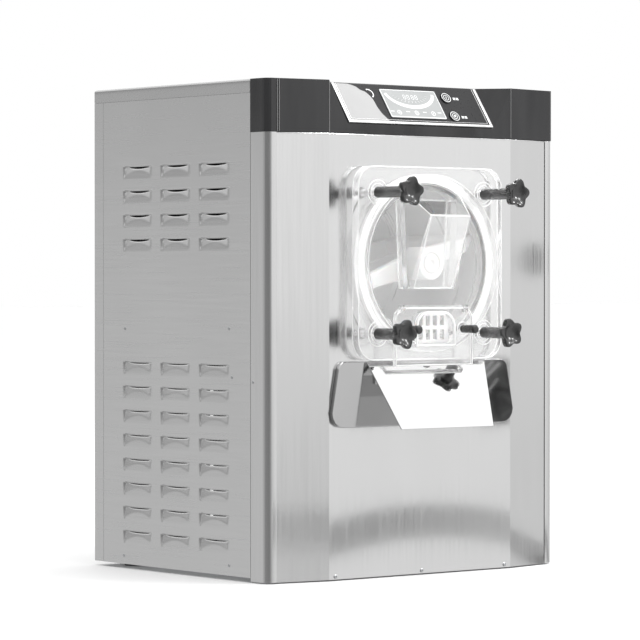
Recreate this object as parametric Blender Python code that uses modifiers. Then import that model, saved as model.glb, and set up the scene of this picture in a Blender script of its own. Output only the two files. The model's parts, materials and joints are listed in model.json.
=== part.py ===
"""Countertop batch freezer: a stainless cabinet with a clear cylinder door, its drive and its cooling system.

Metres, +Z up. The front faces -Y, X runs to the viewer's right, and the origin is the middle of the
footprint of the bounding box, on the surface that the machine stands on. Front-to-back places are given
as the distance behind the middle facet of the front panel, and shifted once by FACE_Y.
"""

from math import atan2, cos, hypot, pi, radians, sin

import bmesh
import bpy
from mathutils import Matrix, Vector

# Driving dimensions
HEIGHT = 0.740
HALF_WIDTH = 0.285
FACE_Y = -0.182
SHEET = 0.0015
GAP = 0.0003

# Cabinet plan, right half, distances behind the front face
SIDE_X = 0.2842
FOLD_X = 0.180
WING_END_X = 0.266
WING_SET = 0.016
POST_REAR = 0.0545
CORNER_RADIUS = 0.012
SIDE_REAR = 0.428
CABINET_REAR = 0.452
LID_REAR = 0.454

# Cabinet levels
FRONT_BOTTOM = 0.002
SIDE_BOTTOM = 0.007
HEAD_BOTTOM = 0.662
LID_BOTTOM = 0.720
TRAY_BOTTOM = 0.008
INSIDE_FLOOR = 0.0105

# Louvres on each side
LOUVRE_COLUMNS = (0.1437, 0.2411, 0.3386)
LOUVRE_PITCH = 0.0372
LOUVRE_UPPER = (0.6105, 4)
LOUVRE_LOWER = (0.3103, 8)
LOUVRE_SLOT = (0.064, 0.006)

# Control head
SLOPE_BOTTOM = 0.677
SLOPE_SET = 0.045
SLOPE_HALF = 0.144
BUTTON_X = 0.073
BUTTON_RADIUS = 0.0092
BUTTON_LEVELS = {"start_button": 0.054, "stop_button": 0.0185}

# Door and freezing cylinder
AXIS_Z = 0.470
BORE = 0.121
WALL = 0.003
CYLINDER_REAR = 0.215
FLANGE_RADIUS = 0.134
DOOR_HALF_WIDTH = 0.142
DOOR_HALF_HEIGHT = 0.1445
DOOR_FRONT = -0.022
DOOR_REAR = -0.007
RIB_RADIUS = 0.118
# half width, bottom, top and corner radius of the opening that the product leaves by
OUTLET = (0.034, 0.350, 0.398, 0.020)
STUD_OFFSET = 0.105
KNOB_RADIUS = 0.0225
KNOB_HEADS = {"upper": -0.092, "lower": -0.077}
KNOB_HEAD_DEPTH = 0.010
# how far each star knob is turned at rest, degrees clockwise
KNOB_TURNS = {"upper_left": 10, "upper_right": 12, "lower_left": 19, "lower_right": -15}

# Feed hopper: half width and height of the sleeve's top and bottom and of the rear wall's top, and
# half width, distance behind and height of the front wall's top; wall thickness, and how far the sleeve
# reaches behind the door
HOPPER_SLEEVE = ((0.0530, 0.566), (0.0465, 0.432))
HOPPER_TOP = (0.0535, 0.577)
HOPPER_BRIM = (0.0385, -0.067, 0.541)
HOPPER_WALL = 0.0028
HOPPER_REAR = 0.0035

# Discharge gate
GATE_HINGE_Y = -0.0263
GATE_HINGE_Z = 0.403
GATE_HALF = 0.076
GATE_BOTTOM = 0.317
GATE_THICKNESS = 0.008
LUG_HALF = 0.0042
GRIP_X = 0.0555
GRIP_Z = 0.371

# Splash plate and chute
SPLASH_TOP = 0.324
SPLASH_BOTTOM = 0.226
SPLASH_DEPTH = 0.007
CHUTE_TOP = (-0.0100, 0.322)
CHUTE_END = (-0.060, 0.224)
CHUTE_HALVES = (0.116, 0.091)

# Drive
BEATER_ANGLE = radians(17)
PULLEY_Y = 0.285
PULLEY_RADIUS = 0.090
MOTOR_PULLEY_RADIUS = 0.030
GROOVE = 0.008
MOTOR_X, MOTOR_Z = -0.130, 0.160

# Cooling
COMPRESSOR = (0.165, 0.140)
FAN_X, FAN_Z = 0.090, 0.180
FAN_RADIUS = 0.105
GLAND = (-0.200, 0.080)

COLOURS = {
    "stainless": ((0.62, 0.62, 0.62), 0.32, 1.0),
    "mirror_steel": ((0.85, 0.85, 0.85), 0.08, 1.0),
    "black_gloss": ((0.03, 0.03, 0.03), 0.12, 0.0),
    "black_moulding": ((0.04, 0.04, 0.04), 0.35, 0.0),
    "clear_plastic": ((0.90, 0.92, 0.92), 0.05, 0.0),
    "white_plastic": ((0.85, 0.85, 0.84), 0.40, 0.0),
    "display": ((0.55, 0.58, 0.60), 0.10, 0.0),
    "panel_film": ((0.10, 0.10, 0.11), 0.25, 0.0),
    "silver_trim": ((0.75, 0.75, 0.76), 0.20, 1.0),
    "rubber": ((0.02, 0.02, 0.02), 0.80, 0.0),
    "foam": ((0.80, 0.74, 0.60), 0.90, 0.0),
    "copper": ((0.75, 0.40, 0.25), 0.30, 1.0),
    "cast_iron": ((0.12, 0.12, 0.13), 0.60, 0.4),
    "motor_paint": ((0.20, 0.24, 0.28), 0.50, 0.0),
    "galvanised": ((0.55, 0.56, 0.57), 0.45, 1.0),
    "box_grey": ((0.55, 0.56, 0.57), 0.50, 0.0),
    "board": ((0.05, 0.22, 0.12), 0.50, 0.0),
}

parts = bpy.data.collections.new("batch_freezer")
cutters = bpy.data.collections.new("cutters")


def clear_scene():
    for obj in list(bpy.data.objects):
        bpy.data.objects.remove(obj, do_unlink=True)
    for collection in (parts, cutters):
        bpy.context.scene.collection.children.link(collection)


def material(name):
    found = bpy.data.materials.get(name)
    if found:
        return found
    colour, roughness, metallic = COLOURS[name]
    made = bpy.data.materials.new(name)
    made.use_nodes = True
    shader = made.node_tree.nodes["Principled BSDF"]
    shader.inputs["Base Color"].default_value = (*colour, 1.0)
    shader.inputs["Roughness"].default_value = roughness
    shader.inputs["Metallic"].default_value = metallic
    return made


def place(x, behind, z):
    """World point of a place given by its distance behind the front face."""
    return Vector((x, FACE_Y + behind, z))


def keep(obj, finish, smooth=False):
    obj.data.materials.clear()
    obj.data.materials.append(material(finish))
    parts.objects.link(obj)
    if smooth:
        obj.data.shade_smooth()
        obj.data.set_sharp_from_angle(angle=radians(35))
    return obj


def as_cutter(obj):
    cutters.objects.link(obj)
    obj.hide_render = True
    obj.display_type = "WIRE"
    return obj


def from_bmesh(name, bm):
    mesh = bpy.data.meshes.new(name)
    bmesh.ops.recalc_face_normals(bm, faces=bm.faces)
    bm.to_mesh(mesh)
    bm.free()
    return bpy.data.objects.new(name, mesh)


def box(name, low, high):
    """A block between two corners, (x, behind, z) each."""
    low, high = place(*low), place(*high)
    bm = bmesh.new()
    bmesh.ops.create_cube(bm, size=1.0)
    bmesh.ops.scale(bm, vec=high - low, verts=bm.verts)
    bmesh.ops.translate(bm, vec=(high + low) / 2, verts=bm.verts)
    return from_bmesh(name, bm)


def rod(name, start, end, radius, sides=24, end_radius=None):
    """A cylinder or cone between two points, (x, behind, z) each."""
    start, end = place(*start), place(*end)
    span = end - start
    turn = Vector((0, 0, 1)).rotation_difference(span.normalized()).to_matrix().to_4x4()
    bm = bmesh.new()
    bmesh.ops.create_cone(
        bm, cap_ends=True, segments=sides, radius1=radius,
        radius2=radius if end_radius is None else end_radius, depth=span.length,
        matrix=Matrix.Translation((start + end) / 2) @ turn,
    )
    return from_bmesh(name, bm)


def hull(name, points):
    """The convex solid around points, (x, behind, z) each."""
    bm = bmesh.new()
    for point in points:
        bm.verts.new(place(*point))
    made = bmesh.ops.convex_hull(bm, input=bm.verts)
    inside = [v for v in made["geom_interior"] if isinstance(v, bmesh.types.BMVert)]
    bmesh.ops.delete(bm, geom=inside, context="VERTS")
    return from_bmesh(name, bm)


def both_sides(name, points):
    """The convex solid around points and their mirror images across X = 0."""
    return hull(name, [(side * x, y, z) for side in (-1, 1) for x, y, z in points])


def slab(name, loops, thickness, middle, across, up):
    """A flat outline with holes, given in the directions across and up around the point middle."""
    curve = bpy.data.curves.new(name, "CURVE")
    curve.dimensions = "2D"
    curve.fill_mode = "BOTH"
    curve.extrude = thickness / 2
    for loop in loops:
        spline = curve.splines.new("POLY")
        spline.points.add(len(loop) - 1)
        spline.use_cyclic_u = True
        for point, (a, b) in zip(spline.points, loop):
            point.co = (a, b, 0.0, 1.0)
    flat = bpy.data.objects.new(name, curve)
    across, up = Vector(across).normalized(), Vector(up).normalized()
    frame = Matrix((across, up, across.cross(up))).transposed().to_4x4()
    frame.translation = place(*middle)
    flat.matrix_world = frame
    bpy.context.scene.collection.objects.link(flat)
    bpy.context.view_layer.update()
    graph = bpy.context.evaluated_depsgraph_get()
    mesh = bpy.data.meshes.new_from_object(flat.evaluated_get(graph))
    bpy.data.objects.remove(flat)
    bpy.data.curves.remove(curve)
    bm = bmesh.new()
    bm.from_mesh(mesh)
    bpy.data.meshes.remove(mesh)
    bmesh.ops.remove_doubles(bm, verts=bm.verts, dist=1e-5)
    bmesh.ops.transform(bm, matrix=frame, verts=bm.verts)
    return from_bmesh(name, bm)


def turned(name, profile, centre, finish=None, steps=32):
    """A shape turned round the line through centre, (x, z), along Y.

    The profile holds (distance behind the face, radius), and runs round the section so that the
    outside comes first, from the back to the front.
    """
    mesh = bpy.data.meshes.new(name)
    x, z = centre
    edges = [(i, (i + 1) % len(profile)) for i in range(len(profile))]
    if any(radius == 0 for _, radius in profile):
        edges.pop()
    mesh.from_pydata([(radius, 0.0, behind) for behind, radius in profile], edges, [])
    obj = bpy.data.objects.new(name, mesh)
    # local +Z becomes world +Y
    obj.matrix_world = Matrix.Translation(place(x, 0.0, z)) @ Matrix.Rotation(-pi / 2, 4, "X")
    screw = obj.modifiers.new("Turn", "SCREW")
    screw.axis = "Z"
    screw.steps = screw.render_steps = steps
    screw.use_merge_vertices = True
    screw.merge_threshold = 0.00001
    screw.use_normal_calculate = False
    if finish:
        keep(obj, finish, smooth=True)
    return obj


def combine(target, tool, operation):
    change = target.modifiers.new(operation.title(), "BOOLEAN")
    change.operation = operation
    change.solver = "EXACT"
    change.object = as_cutter(tool)
    return target


def cut(target, tool):
    return combine(target, tool, "DIFFERENCE")


def join(target, tool):
    return combine(target, tool, "UNION")


def soften(obj, width, segments=2, angle=40):
    edge = obj.modifiers.new("Edges", "BEVEL")
    edge.width = width
    edge.segments = segments
    edge.limit_method = "ANGLE"
    edge.angle_limit = radians(angle)
    return obj


def hang(axis_name, spot, *names):
    """Parents moving pieces to an empty on their joint's axis, where they stay in place."""
    empty = bpy.data.objects.new(axis_name, None)
    empty.location = place(*spot)
    parts.objects.link(empty)
    for name in names:
        obj = bpy.data.objects[name]
        obj.parent = empty
        obj.matrix_parent_inverse = Matrix.Translation(-empty.location)


def arc(centre, radius, start, end, steps=4):
    angles = [radians(start + (end - start) * i / steps) for i in range(steps + 1)]
    return [(centre[0] + radius * cos(a), centre[1] + radius * sin(a)) for a in angles]


def rectangle(low, high, radius=0.0, steps=4):
    (a, b), (c, d) = low, high
    if not radius:
        return [(a, b), (c, b), (c, d), (a, d)]
    r = radius
    return (
        arc((c - r, b + r), r, -90, 0, steps) + arc((c - r, d - r), r, 0, 90, steps)
        + arc((a + r, d - r), r, 90, 180, steps) + arc((a + r, b + r), r, 180, 270, steps)
    )


def circle(centre, radius, steps=16):
    return arc(centre, radius, 0, 360, steps)[:-1]


def offset_path(path, distance):
    """A copy of an open path moved sideways, for the other face of a bent sheet."""
    moved = []
    for i, point in enumerate(path):
        before = Vector(path[max(i - 1, 0)])
        after = Vector(path[min(i + 1, len(path) - 1)])
        here = Vector(point)
        first = (here - before).normalized() if i else (after - here).normalized()
        last = (after - here).normalized() if i < len(path) - 1 else first
        normal = Vector((-first.y - last.y, first.x + last.x)).normalized()
        lean = max(normal.dot(Vector((-first.y, first.x))), 0.2)
        moved.append(tuple(here + normal * (distance / lean)))
    return moved


def bent_sheet(name, path, low, high, thickness=SHEET):
    """A sheet that follows a plan path of (x, behind) and stands from low to high."""
    loop = list(path) + list(reversed(offset_path(path, thickness)))
    middle = (0.0, 0.0, (low + high) / 2)
    return slab(name, [loop], high - low, middle, (1, 0, 0), (0, 1, 0))


def along_face(name, loops, front, rear):
    """An outline of (x, z) between two distances behind the face."""
    return slab(name, loops, rear - front, (0.0, (front + rear) / 2, 0.0), (1, 0, 0), (0, 0, 1))


# Cabinet

def post_path(side):
    """Plan of a front corner post, from the side panel round to the front wing."""
    radius, x = CORNER_RADIUS, SIDE_X
    front = WING_SET - 0.001
    round_corner = arc((x - radius, front + radius), radius, 0, -90, 5)
    path = [(x, POST_REAR)] + round_corner + [(WING_END_X + GAP, front)]
    return [(side * a, b) for a, b in path]


def front_path():
    return [(-WING_END_X, WING_SET), (-FOLD_X, 0.0), (FOLD_X, 0.0), (WING_END_X, WING_SET)]


def build_front_panel():
    panel = bent_sheet("front_panel", front_path(), FRONT_BOTTOM, HEAD_BOTTOM - GAP)
    cut(panel, rod("bore_hole", (0, -0.02, AXIS_Z), (0, 0.02, AXIS_Z), BORE + WALL + 0.0010, 48))
    for x, z in stud_places():
        cut(panel, rod("stud_hole", (x, -0.02, z), (x, 0.02, z), 0.0052, 16))
    keep(panel, "stainless")


def build_posts():
    for side, word in ((-1, "left"), (1, "right")):
        thickness = -SHEET * side
        loop = post_path(side)
        loop = loop + list(reversed(offset_path(loop, thickness)))
        middle = (0.0, 0.0, (FRONT_BOTTOM + HEAD_BOTTOM - GAP) / 2)
        height = HEAD_BOTTOM - GAP - FRONT_BOTTOM
        keep(slab(f"front_post_{word}", [loop], height, middle, (1, 0, 0), (0, 1, 0)), "stainless")
        x = side * SIDE_X
        path = [(x, SIDE_REAR + 0.0005), (x, CABINET_REAR), (side * 0.260, CABINET_REAR)]
        loop = path + list(reversed(offset_path(path, SHEET * side)))
        middle = (0.0, 0.0, (SIDE_BOTTOM + LID_BOTTOM - GAP) / 2)
        height = LID_BOTTOM - GAP - SIDE_BOTTOM
        keep(slab(f"rear_post_{word}", [loop], height, middle, (1, 0, 0), (0, 1, 0)), "stainless")


def louvre_places():
    for column in LOUVRE_COLUMNS:
        for top, count in (LOUVRE_UPPER, LOUVRE_LOWER):
            for row in range(count):
                yield column, top - LOUVRE_PITCH * row


def build_side_panels():
    low, high = (POST_REAR + 0.0005, SIDE_BOTTOM), (SIDE_REAR, LID_BOTTOM - GAP)
    width, height = LOUVRE_SLOT
    slots = [
        rectangle((y - width / 2, z - height / 2), (y + width / 2, z + height / 2))
        for y, z in louvre_places()
    ]
    for side, word in ((-1, "left"), (1, "right")):
        middle = (side * (SIDE_X - SHEET / 2), 0.0, 0.0)
        loops = [rectangle(low, high)] + slots
        keep(slab(f"side_panel_{word}", loops, SHEET, middle, (0, 1, 0), (0, 0, 1)), "stainless")


def build_back_panel():
    slots = []
    for column in range(14):
        x = -0.060 + 0.020 * column
        for row in range(2):
            z = 0.060 + 0.130 * row
            slots.append(rectangle((x, z), (x + 0.007, z + 0.110)))
    gland_hole = circle(GLAND, 0.0086, 16)
    outline = rectangle((-0.2595, SIDE_BOTTOM), (0.2595, LID_BOTTOM - GAP))
    loops = [outline, gland_hole] + slots
    keep(along_face("back_panel", loops, CABINET_REAR - SHEET, CABINET_REAR), "stainless")


def build_lid():
    """The top cover: an open box, turned over the sides."""
    low, high = place(-SIDE_X, POST_REAR + 0.0003, LID_BOTTOM), place(SIDE_X, LID_REAR, HEIGHT)
    bm = bmesh.new()
    bmesh.ops.create_cube(bm, size=1.0)
    bmesh.ops.scale(bm, vec=high - low, verts=bm.verts)
    bmesh.ops.translate(bm, vec=(high + low) / 2, verts=bm.verts)
    bottom = [f for f in bm.faces if f.normal.z < -0.9]
    bmesh.ops.delete(bm, geom=bottom, context="FACES_ONLY")
    lid = from_bmesh("top_cover", bm)
    soften(lid, 0.003, 2)
    shell = lid.modifiers.new("Shell", "SOLIDIFY")
    shell.thickness = SHEET
    shell.offset = -1.0
    keep(lid, "stainless")


def build_base():
    low, high = place(-0.2822, 0.030, TRAY_BOTTOM), place(0.2822, 0.4502, 0.032)
    bm = bmesh.new()
    bmesh.ops.create_cube(bm, size=1.0)
    bmesh.ops.scale(bm, vec=high - low, verts=bm.verts)
    bmesh.ops.translate(bm, vec=(high + low) / 2, verts=bm.verts)
    bmesh.ops.delete(bm, geom=[f for f in bm.faces if f.normal.z > 0.9], context="FACES_ONLY")
    tray = from_bmesh("base_tray", bm)
    shell = tray.modifiers.new("Shell", "SOLIDIFY")
    shell.thickness = 0.002
    shell.offset = -1.0
    keep(tray, "galvanised")
    corners = (("front_left", -0.235, 0.070), ("front_right", 0.235, 0.070),
               ("rear_left", -0.235, 0.410), ("rear_right", 0.235, 0.410))
    for word, x, y in corners:
        foot = rod(f"foot_{word}", (x, y, 0.0), (x, y, TRAY_BOTTOM - GAP), 0.018, 20, 0.020)
        keep(foot, "rubber", smooth=True)


# Control head

def build_head():
    front = WING_SET - 0.002
    radius = CORNER_RADIUS
    right = arc((HALF_WIDTH - radius, front + radius), radius, 0, -90, 5)
    half = [(HALF_WIDTH, POST_REAR)] + right + [(WING_END_X, front - 0.0006), (FOLD_X, -0.001)]
    plan = half + [(-x, y) for x, y in reversed(half)]
    middle = (0.0, 0.0, (HEAD_BOTTOM + HEIGHT) / 2)
    head = slab("head_cover", [plan], HEIGHT - HEAD_BOTTOM, middle, (1, 0, 0), (0, 1, 0))
    rise = HEIGHT - SLOPE_BOTTOM
    ahead, above = 0.010, 0.010
    low = (-ahead, SLOPE_BOTTOM - ahead * rise / SLOPE_SET)
    high = (SLOPE_SET * (rise + above) / rise, HEIGHT + above)
    spread = (FOLD_X - SLOPE_HALF) * (high[1] - low[1]) / rise
    points = []
    for side in (-1, 1):
        cheek = (side * (SLOPE_HALF + spread), low[0], high[1])
        points += [(side * SLOPE_HALF, *low), (side * SLOPE_HALF, *high), cheek]
    cut(head, hull("panel_recess", points))
    floor, ceiling = HEAD_BOTTOM + 0.003, HEIGHT - 0.003
    front, rear = 0.005, 0.060
    set_back = front + SLOPE_SET * (ceiling - SLOPE_BOTTOM) / rise
    section = [(front, floor), (front, SLOPE_BOTTOM), (set_back, ceiling), (rear, ceiling), (rear, floor)]
    cut(head, hull("head_room", [(x, y, z) for x in (-0.139, 0.139) for y, z in section]))
    for side in (-1, 1):
        low_x, high_x = sorted((side * 0.195, side * (HALF_WIDTH - 0.005)))
        cut(head, box("side_room", (low_x, 0.030, floor), (high_x, 0.060, ceiling)))
    for level in BUTTON_LEVELS.values():
        cut(head, slope_rod("button_pocket", BUTTON_X, level, -0.009, 0.004, BUTTON_RADIUS + 0.0006))
    keep(head, "black_gloss")


def slope_axes():
    return Vector((1, 0, 0)), Vector((0, SLOPE_SET, HEIGHT - SLOPE_BOTTOM)).normalized()


def on_slope(x, level, proud):
    """The place (x, behind, z) that lies level metres up the sloping face and proud of it."""
    across, up = slope_axes()
    point = across * x + up * level + across.cross(up) * proud
    return point.x, point.y, SLOPE_BOTTOM + point.z


def slope_rod(name, x, level, deep, proud, radius):
    return rod(name, on_slope(x, level, deep), on_slope(x, level, proud), radius, 24)


def slope_slab(name, loops, low, high):
    across, up = slope_axes()
    return slab(name, loops, high - low, on_slope(0.0, 0.0, (low + high) / 2), across, up)


def build_controls():
    holes = [circle((BUTTON_X, level), BUTTON_RADIUS + 0.0004, 24) for level in BUTTON_LEVELS.values()]
    outer, inner, top = 0.1430, 0.1381, 0.0745
    bottom, rim = 0.0005, 0.0049
    outline = rectangle((GAP - inner, rim + GAP), (inner - GAP, top))
    keep(slope_slab("control_face", [outline] + holes, GAP, 0.0018), "panel_film")
    frame = [(-outer, top), (-outer, bottom), (outer, bottom), (outer, top),
             (inner, top), (inner, rim), (-inner, rim), (-inner, top)]
    keep(slope_slab("panel_bezel", [frame], GAP, 0.0034), "silver_trim")
    glass = rectangle((-0.055, 0.0125), (0.055, 0.0660), 0.002, 2)
    keep(slope_slab("lcd_display", [glass], 0.0021, 0.0032), "display")
    for name, level in BUTTON_LEVELS.items():
        button = slope_rod(name, BUTTON_X, level, -0.0035, 0.0040, BUTTON_RADIUS)
        soften(button, 0.0008, 1)
        keep(button, "silver_trim", smooth=True)
    board = box("control_board", (-0.100, 0.0505, 0.672), (0.100, 0.0525, 0.728))
    keep(board, "board")


# Door and cylinder

def stud_places():
    for z in (AXIS_Z + STUD_OFFSET, AXIS_Z - STUD_OFFSET):
        for x in (-STUD_OFFSET, STUD_OFFSET):
            yield x, z


def outlet(half, low, high, radius):
    """The D-shaped discharge opening: square below, rounded above."""
    return ([(-half, low), (half, low)] + arc((half - radius, high - radius), radius, 0, 90, 5)
            + arc((radius - half, high - radius), radius, 90, 180, 5))


def build_cylinder():
    inner, outer, rear = BORE, BORE + WALL, CYLINDER_REAR
    front, drain = DOOR_REAR + GAP, 0.015
    profile = [(rear, drain), (rear, outer), (-GAP, outer), (-GAP, FLANGE_RADIUS), (front, FLANGE_RADIUS),
               (front, inner), (rear - 0.004, inner), (rear - 0.004, drain)]
    turned("freezing_cylinder", profile, (0, AXIS_Z), "stainless", 48)
    outside = (outer + GAP) / cos(pi / 28)
    crest, valley = outside + 0.006, outside + 0.002
    back = 0.200
    ribs = [(back, outside), (back, crest)]
    for start in (back - 0.034 * coil for coil in range(5)):
        ribs += [(start - 0.024, crest), (start - 0.026, valley),
                 (start - 0.032, valley), (start - 0.034, crest)]
    ribs += [(0.020, crest), (0.020, outside)]
    turned("evaporator_jacket", ribs, (0, AXIS_Z), "copper", 28)
    around, hub, skin = (crest + 0.0005) / cos(pi / 32), 0.050, 0.168
    front, floor, back = 0.013, rear + 0.0005, 0.224
    shell = [(back, hub), (back, skin), (front, skin), (front, around), (floor, around), (floor, hub)]
    turned("insulation", shell, (0, AXIS_Z), "foam", 32)


def hinge_rod(name, reach, radius):
    """A rod along the discharge gate's hinge line."""
    y, z = GATE_HINGE_Y, GATE_HINGE_Z
    return rod(name, (-reach, y, z), (reach, y, z), radius, 12)


def build_door():
    corner = (DOOR_HALF_WIDTH, AXIS_Z + DOOR_HALF_HEIGHT)
    outline = rectangle((-corner[0], AXIS_Z - DOOR_HALF_HEIGHT), corner, 0.030, 8)
    (top_half, top_z), (low_half, low_z) = HOPPER_SLEEVE
    window = [(-low_half - GAP, low_z - GAP), (low_half + GAP, low_z - GAP),
              (top_half + GAP, top_z + GAP), (-top_half - GAP, top_z + GAP)]
    holes = [circle((x, z), 0.0060, 16) for x, z in stud_places()]
    door = along_face("door_plate", [outline, window] + holes, DOOR_FRONT, DOOR_REAR)
    inner, outer, buried = 0.112, RIB_RADIUS, DOOR_REAR - 0.001
    rib = [(0.010, inner), (0.010, outer), (buried, outer), (buried, inner)]
    join(door, turned("door_rib", rib, (0, AXIS_Z), steps=48))
    cut(door, along_face("outlet_hole", [outlet(*OUTLET)], DOOR_FRONT - 0.002, 0.012))
    for side in (-1, 1):
        low_x, high_x = sorted((side * 0.0585, side * 0.0660))
        low = (low_x, GATE_HINGE_Y - LUG_HALF, GATE_HINGE_Z - LUG_HALF)
        join(door, box("hinge_lug", low, (high_x, DOOR_FRONT + 0.001, GATE_HINGE_Z + LUG_HALF)))
    cut(door, hinge_rod("lug_bore", 0.070, 0.0019))
    keep(door, "clear_plastic")
    inner, outer = RIB_RADIUS + GAP, BORE - GAP
    seal = [(0.005, inner), (0.005, outer), (0.002, outer), (0.002, inner)]
    turned("door_seal", seal, (0, AXIS_Z), "white_plastic", 48)
    slots = []
    for low, high in ((0.3555, 0.3705), (0.3765, 0.3915)):
        for x in (-0.0210, -0.0070, 0.0070, 0.0210):
            slots.append(rectangle((x - 0.0040, low), (x + 0.0040, high)))
    half, low, high, radius = OUTLET
    fitted = outlet(half - GAP, low + GAP, high - GAP, radius - GAP)
    keep(along_face("outlet_grill", [fitted] + slots, -0.020, -0.016), "white_plastic")


def build_hopper():
    """A wedge with an open top, and a sleeve that carries it through the door's window."""
    wall, edge, above = HOPPER_WALL, DOOR_FRONT - GAP, 0.600
    (sleeve_half, sleeve_top), (low_half, low) = HOPPER_SLEEVE
    top_half, top = HOPPER_TOP
    brim_half, brim, brim_z = HOPPER_BRIM
    foot, floor = -0.0255, low + wall
    lean = (brim - foot) / (brim_z - low)
    outside = [(top_half, edge, top), (low_half, edge, low), (brim_half, brim, brim_z),
               (brim_half - 0.001, foot, low)]
    inside = [(top_half - wall, edge, above), (low_half - wall, edge, floor),
              (brim_half - wall, brim + wall + lean * (above - brim_z), above),
              (brim_half - wall - 0.001, foot + wall * 0.6, floor)]
    sleeve = [(half, y, z) for half, z in HOPPER_SLEEVE for y in (edge - 0.001, HOPPER_REAR)]
    hollow = [(sleeve_half - wall, sleeve_top - wall), (low_half - wall, floor)]
    sleeve_room = [(half, y, z) for half, z in hollow for y in (edge - 0.0005, HOPPER_REAR + 0.005)]
    hopper = both_sides("feed_hopper", outside)
    join(hopper, both_sides("hopper_sleeve", sleeve))
    cut(hopper, both_sides("hopper_room", inside))
    cut(hopper, both_sides("sleeve_room", sleeve_room))
    keep(hopper, "clear_plastic")


def star(centre, radius, turn, lobes=5, dip=0.0045, steps=40):
    points = []
    for i in range(steps):
        angle = 2 * pi * i / steps
        reach = radius - dip * (1 - cos(lobes * angle)) / 2
        points.append((centre[0] + reach * sin(angle + turn), centre[1] + reach * cos(angle + turn)))
    return points


def build_knobs():
    for x, z in stud_places():
        level = "upper" if z > AXIS_Z else "lower"
        name = f"{level}_{'left' if x < 0 else 'right'}"
        head = KNOB_HEADS[level]
        crown = head - KNOB_HEAD_DEPTH
        outline = star((x, z), KNOB_RADIUS, radians(KNOB_TURNS[name]))
        knob = along_face(f"star_knob_{name}", [outline], crown, head)
        cut(knob, rod("knob_dish", (x, crown - 0.001, z), (x, crown + 0.0025, z), 0.0165, 24, 0.0050))
        join(knob, rod("knob_sleeve", (x, DOOR_FRONT - GAP, z), (x, head - 0.002, z), 0.0085, 24))
        cut(knob, rod("knob_bore", (x, 0.0, z), (x, head + 0.006, z), 0.0052, 16))
        keep(knob, "black_moulding", smooth=True)
        hang(f"knob_axis_{name}", (x, head, z), f"star_knob_{name}")
        tip, radius, flange = head + 0.012, 0.0045, 0.0090
        stud = [(0.012, 0.0), (0.012, flange), (0.0045, flange), (0.0045, radius), (tip + 0.001, radius),
                (tip, radius - 0.001), (tip, 0.0)]
        turned(f"stud_{name}", stud, (x, z), "stainless", 16)


def build_gate():
    rear = GATE_HINGE_Y + GATE_THICKNESS / 2
    front = rear - GATE_THICKNESS
    corner = 0.016
    top = GATE_HINGE_Z
    outline = ([(-GATE_HALF, GATE_BOTTOM), (GATE_HALF, GATE_BOTTOM)]
               + arc((GATE_HALF - corner, top - corner), corner, 0, 90, 5)
               + arc((corner - GATE_HALF, top - corner), corner, 90, 180, 5))
    gate = along_face("discharge_gate", [outline], front, rear)
    rim = [outlet(0.0394, 0.345, 0.3985, 0.0240), outlet(0.0350, 0.3494, 0.3941, 0.0196)]
    join(gate, along_face("gate_rim", rim, front - 0.003, front + 0.001))
    barrel = (-0.0580, GATE_HINGE_Y, top), (0.0580, GATE_HINGE_Y, top)
    join(gate, rod("gate_barrel", *barrel, GATE_THICKNESS / 2, 20))
    for side in (-1, 1):
        low_x, high_x = sorted((side * 0.0580, side * 0.0665))
        low = (low_x, front - 0.01, top - LUG_HALF * 1.6)
        cut(gate, box("lug_room", low, (high_x, rear + 0.01, top + 0.01)))
    cut(gate, hinge_rod("pin_bore", 0.070, 0.0019))
    keep(gate, "clear_plastic")
    keep(hinge_rod("gate_hinge_pin", 0.0668, 0.0015), "stainless")
    for side, word in ((-1, "left"), (1, "right")):
        x = side * GRIP_X
        tip = front - 0.031
        root = front - GAP
        profile = [(root, 0.0), (root, 0.0058), (tip + 0.002, 0.0065), (tip, 0.0045), (tip, 0.0)]
        turned(f"gate_grip_{word}", profile, (x, GRIP_Z), "black_moulding", 20)
    hang("gate_axis", (0.0, GATE_HINGE_Y, top), "discharge_gate", "gate_grip_left", "gate_grip_right")


def build_splash_and_chute():
    top_half, wide_half = 0.168, 0.180
    low, high = SPLASH_BOTTOM, SPLASH_TOP
    foot, head = 0.022, 0.014
    right = (arc((wide_half - foot, low + foot), foot, -90, 0, 4)
             + arc((top_half - head, high - head), head, 10, 90, 4))
    loop = right + [(-x, z) for x, z in reversed(right)]
    keep(along_face("splash_plate", [loop], -SPLASH_DEPTH, -GAP), "mirror_steel")
    (top_y, top_z), (end_y, end_z) = CHUTE_TOP, CHUTE_END
    down = Vector((0, end_y - top_y, end_z - top_z))
    top_half, end_half = CHUTE_HALVES
    loop = [(-top_half, 0.0), (top_half, 0.0), (end_half, down.length), (-end_half, down.length)]
    chute = slab("discharge_chute", [loop], 0.002, (0.0, top_y, top_z), (1, 0, 0), down)
    join(chute, box("chute_flange", (-0.100, -0.0105, 0.2900), (0.100, -SPLASH_DEPTH - GAP, 0.3205)))
    keep(chute, "mirror_steel")


# Beater and drive

def turn_about_axis(obj, angle=BEATER_ANGLE):
    """Swings an object that was built level round the cylinder's axis, counter-clockwise from the front."""
    centre = place(0.0, 0.0, AXIS_Z)
    turn = Matrix.Translation(centre) @ Matrix.Rotation(-angle, 4, "Y") @ Matrix.Translation(-centre)
    obj.data.transform(turn)
    return obj


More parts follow.
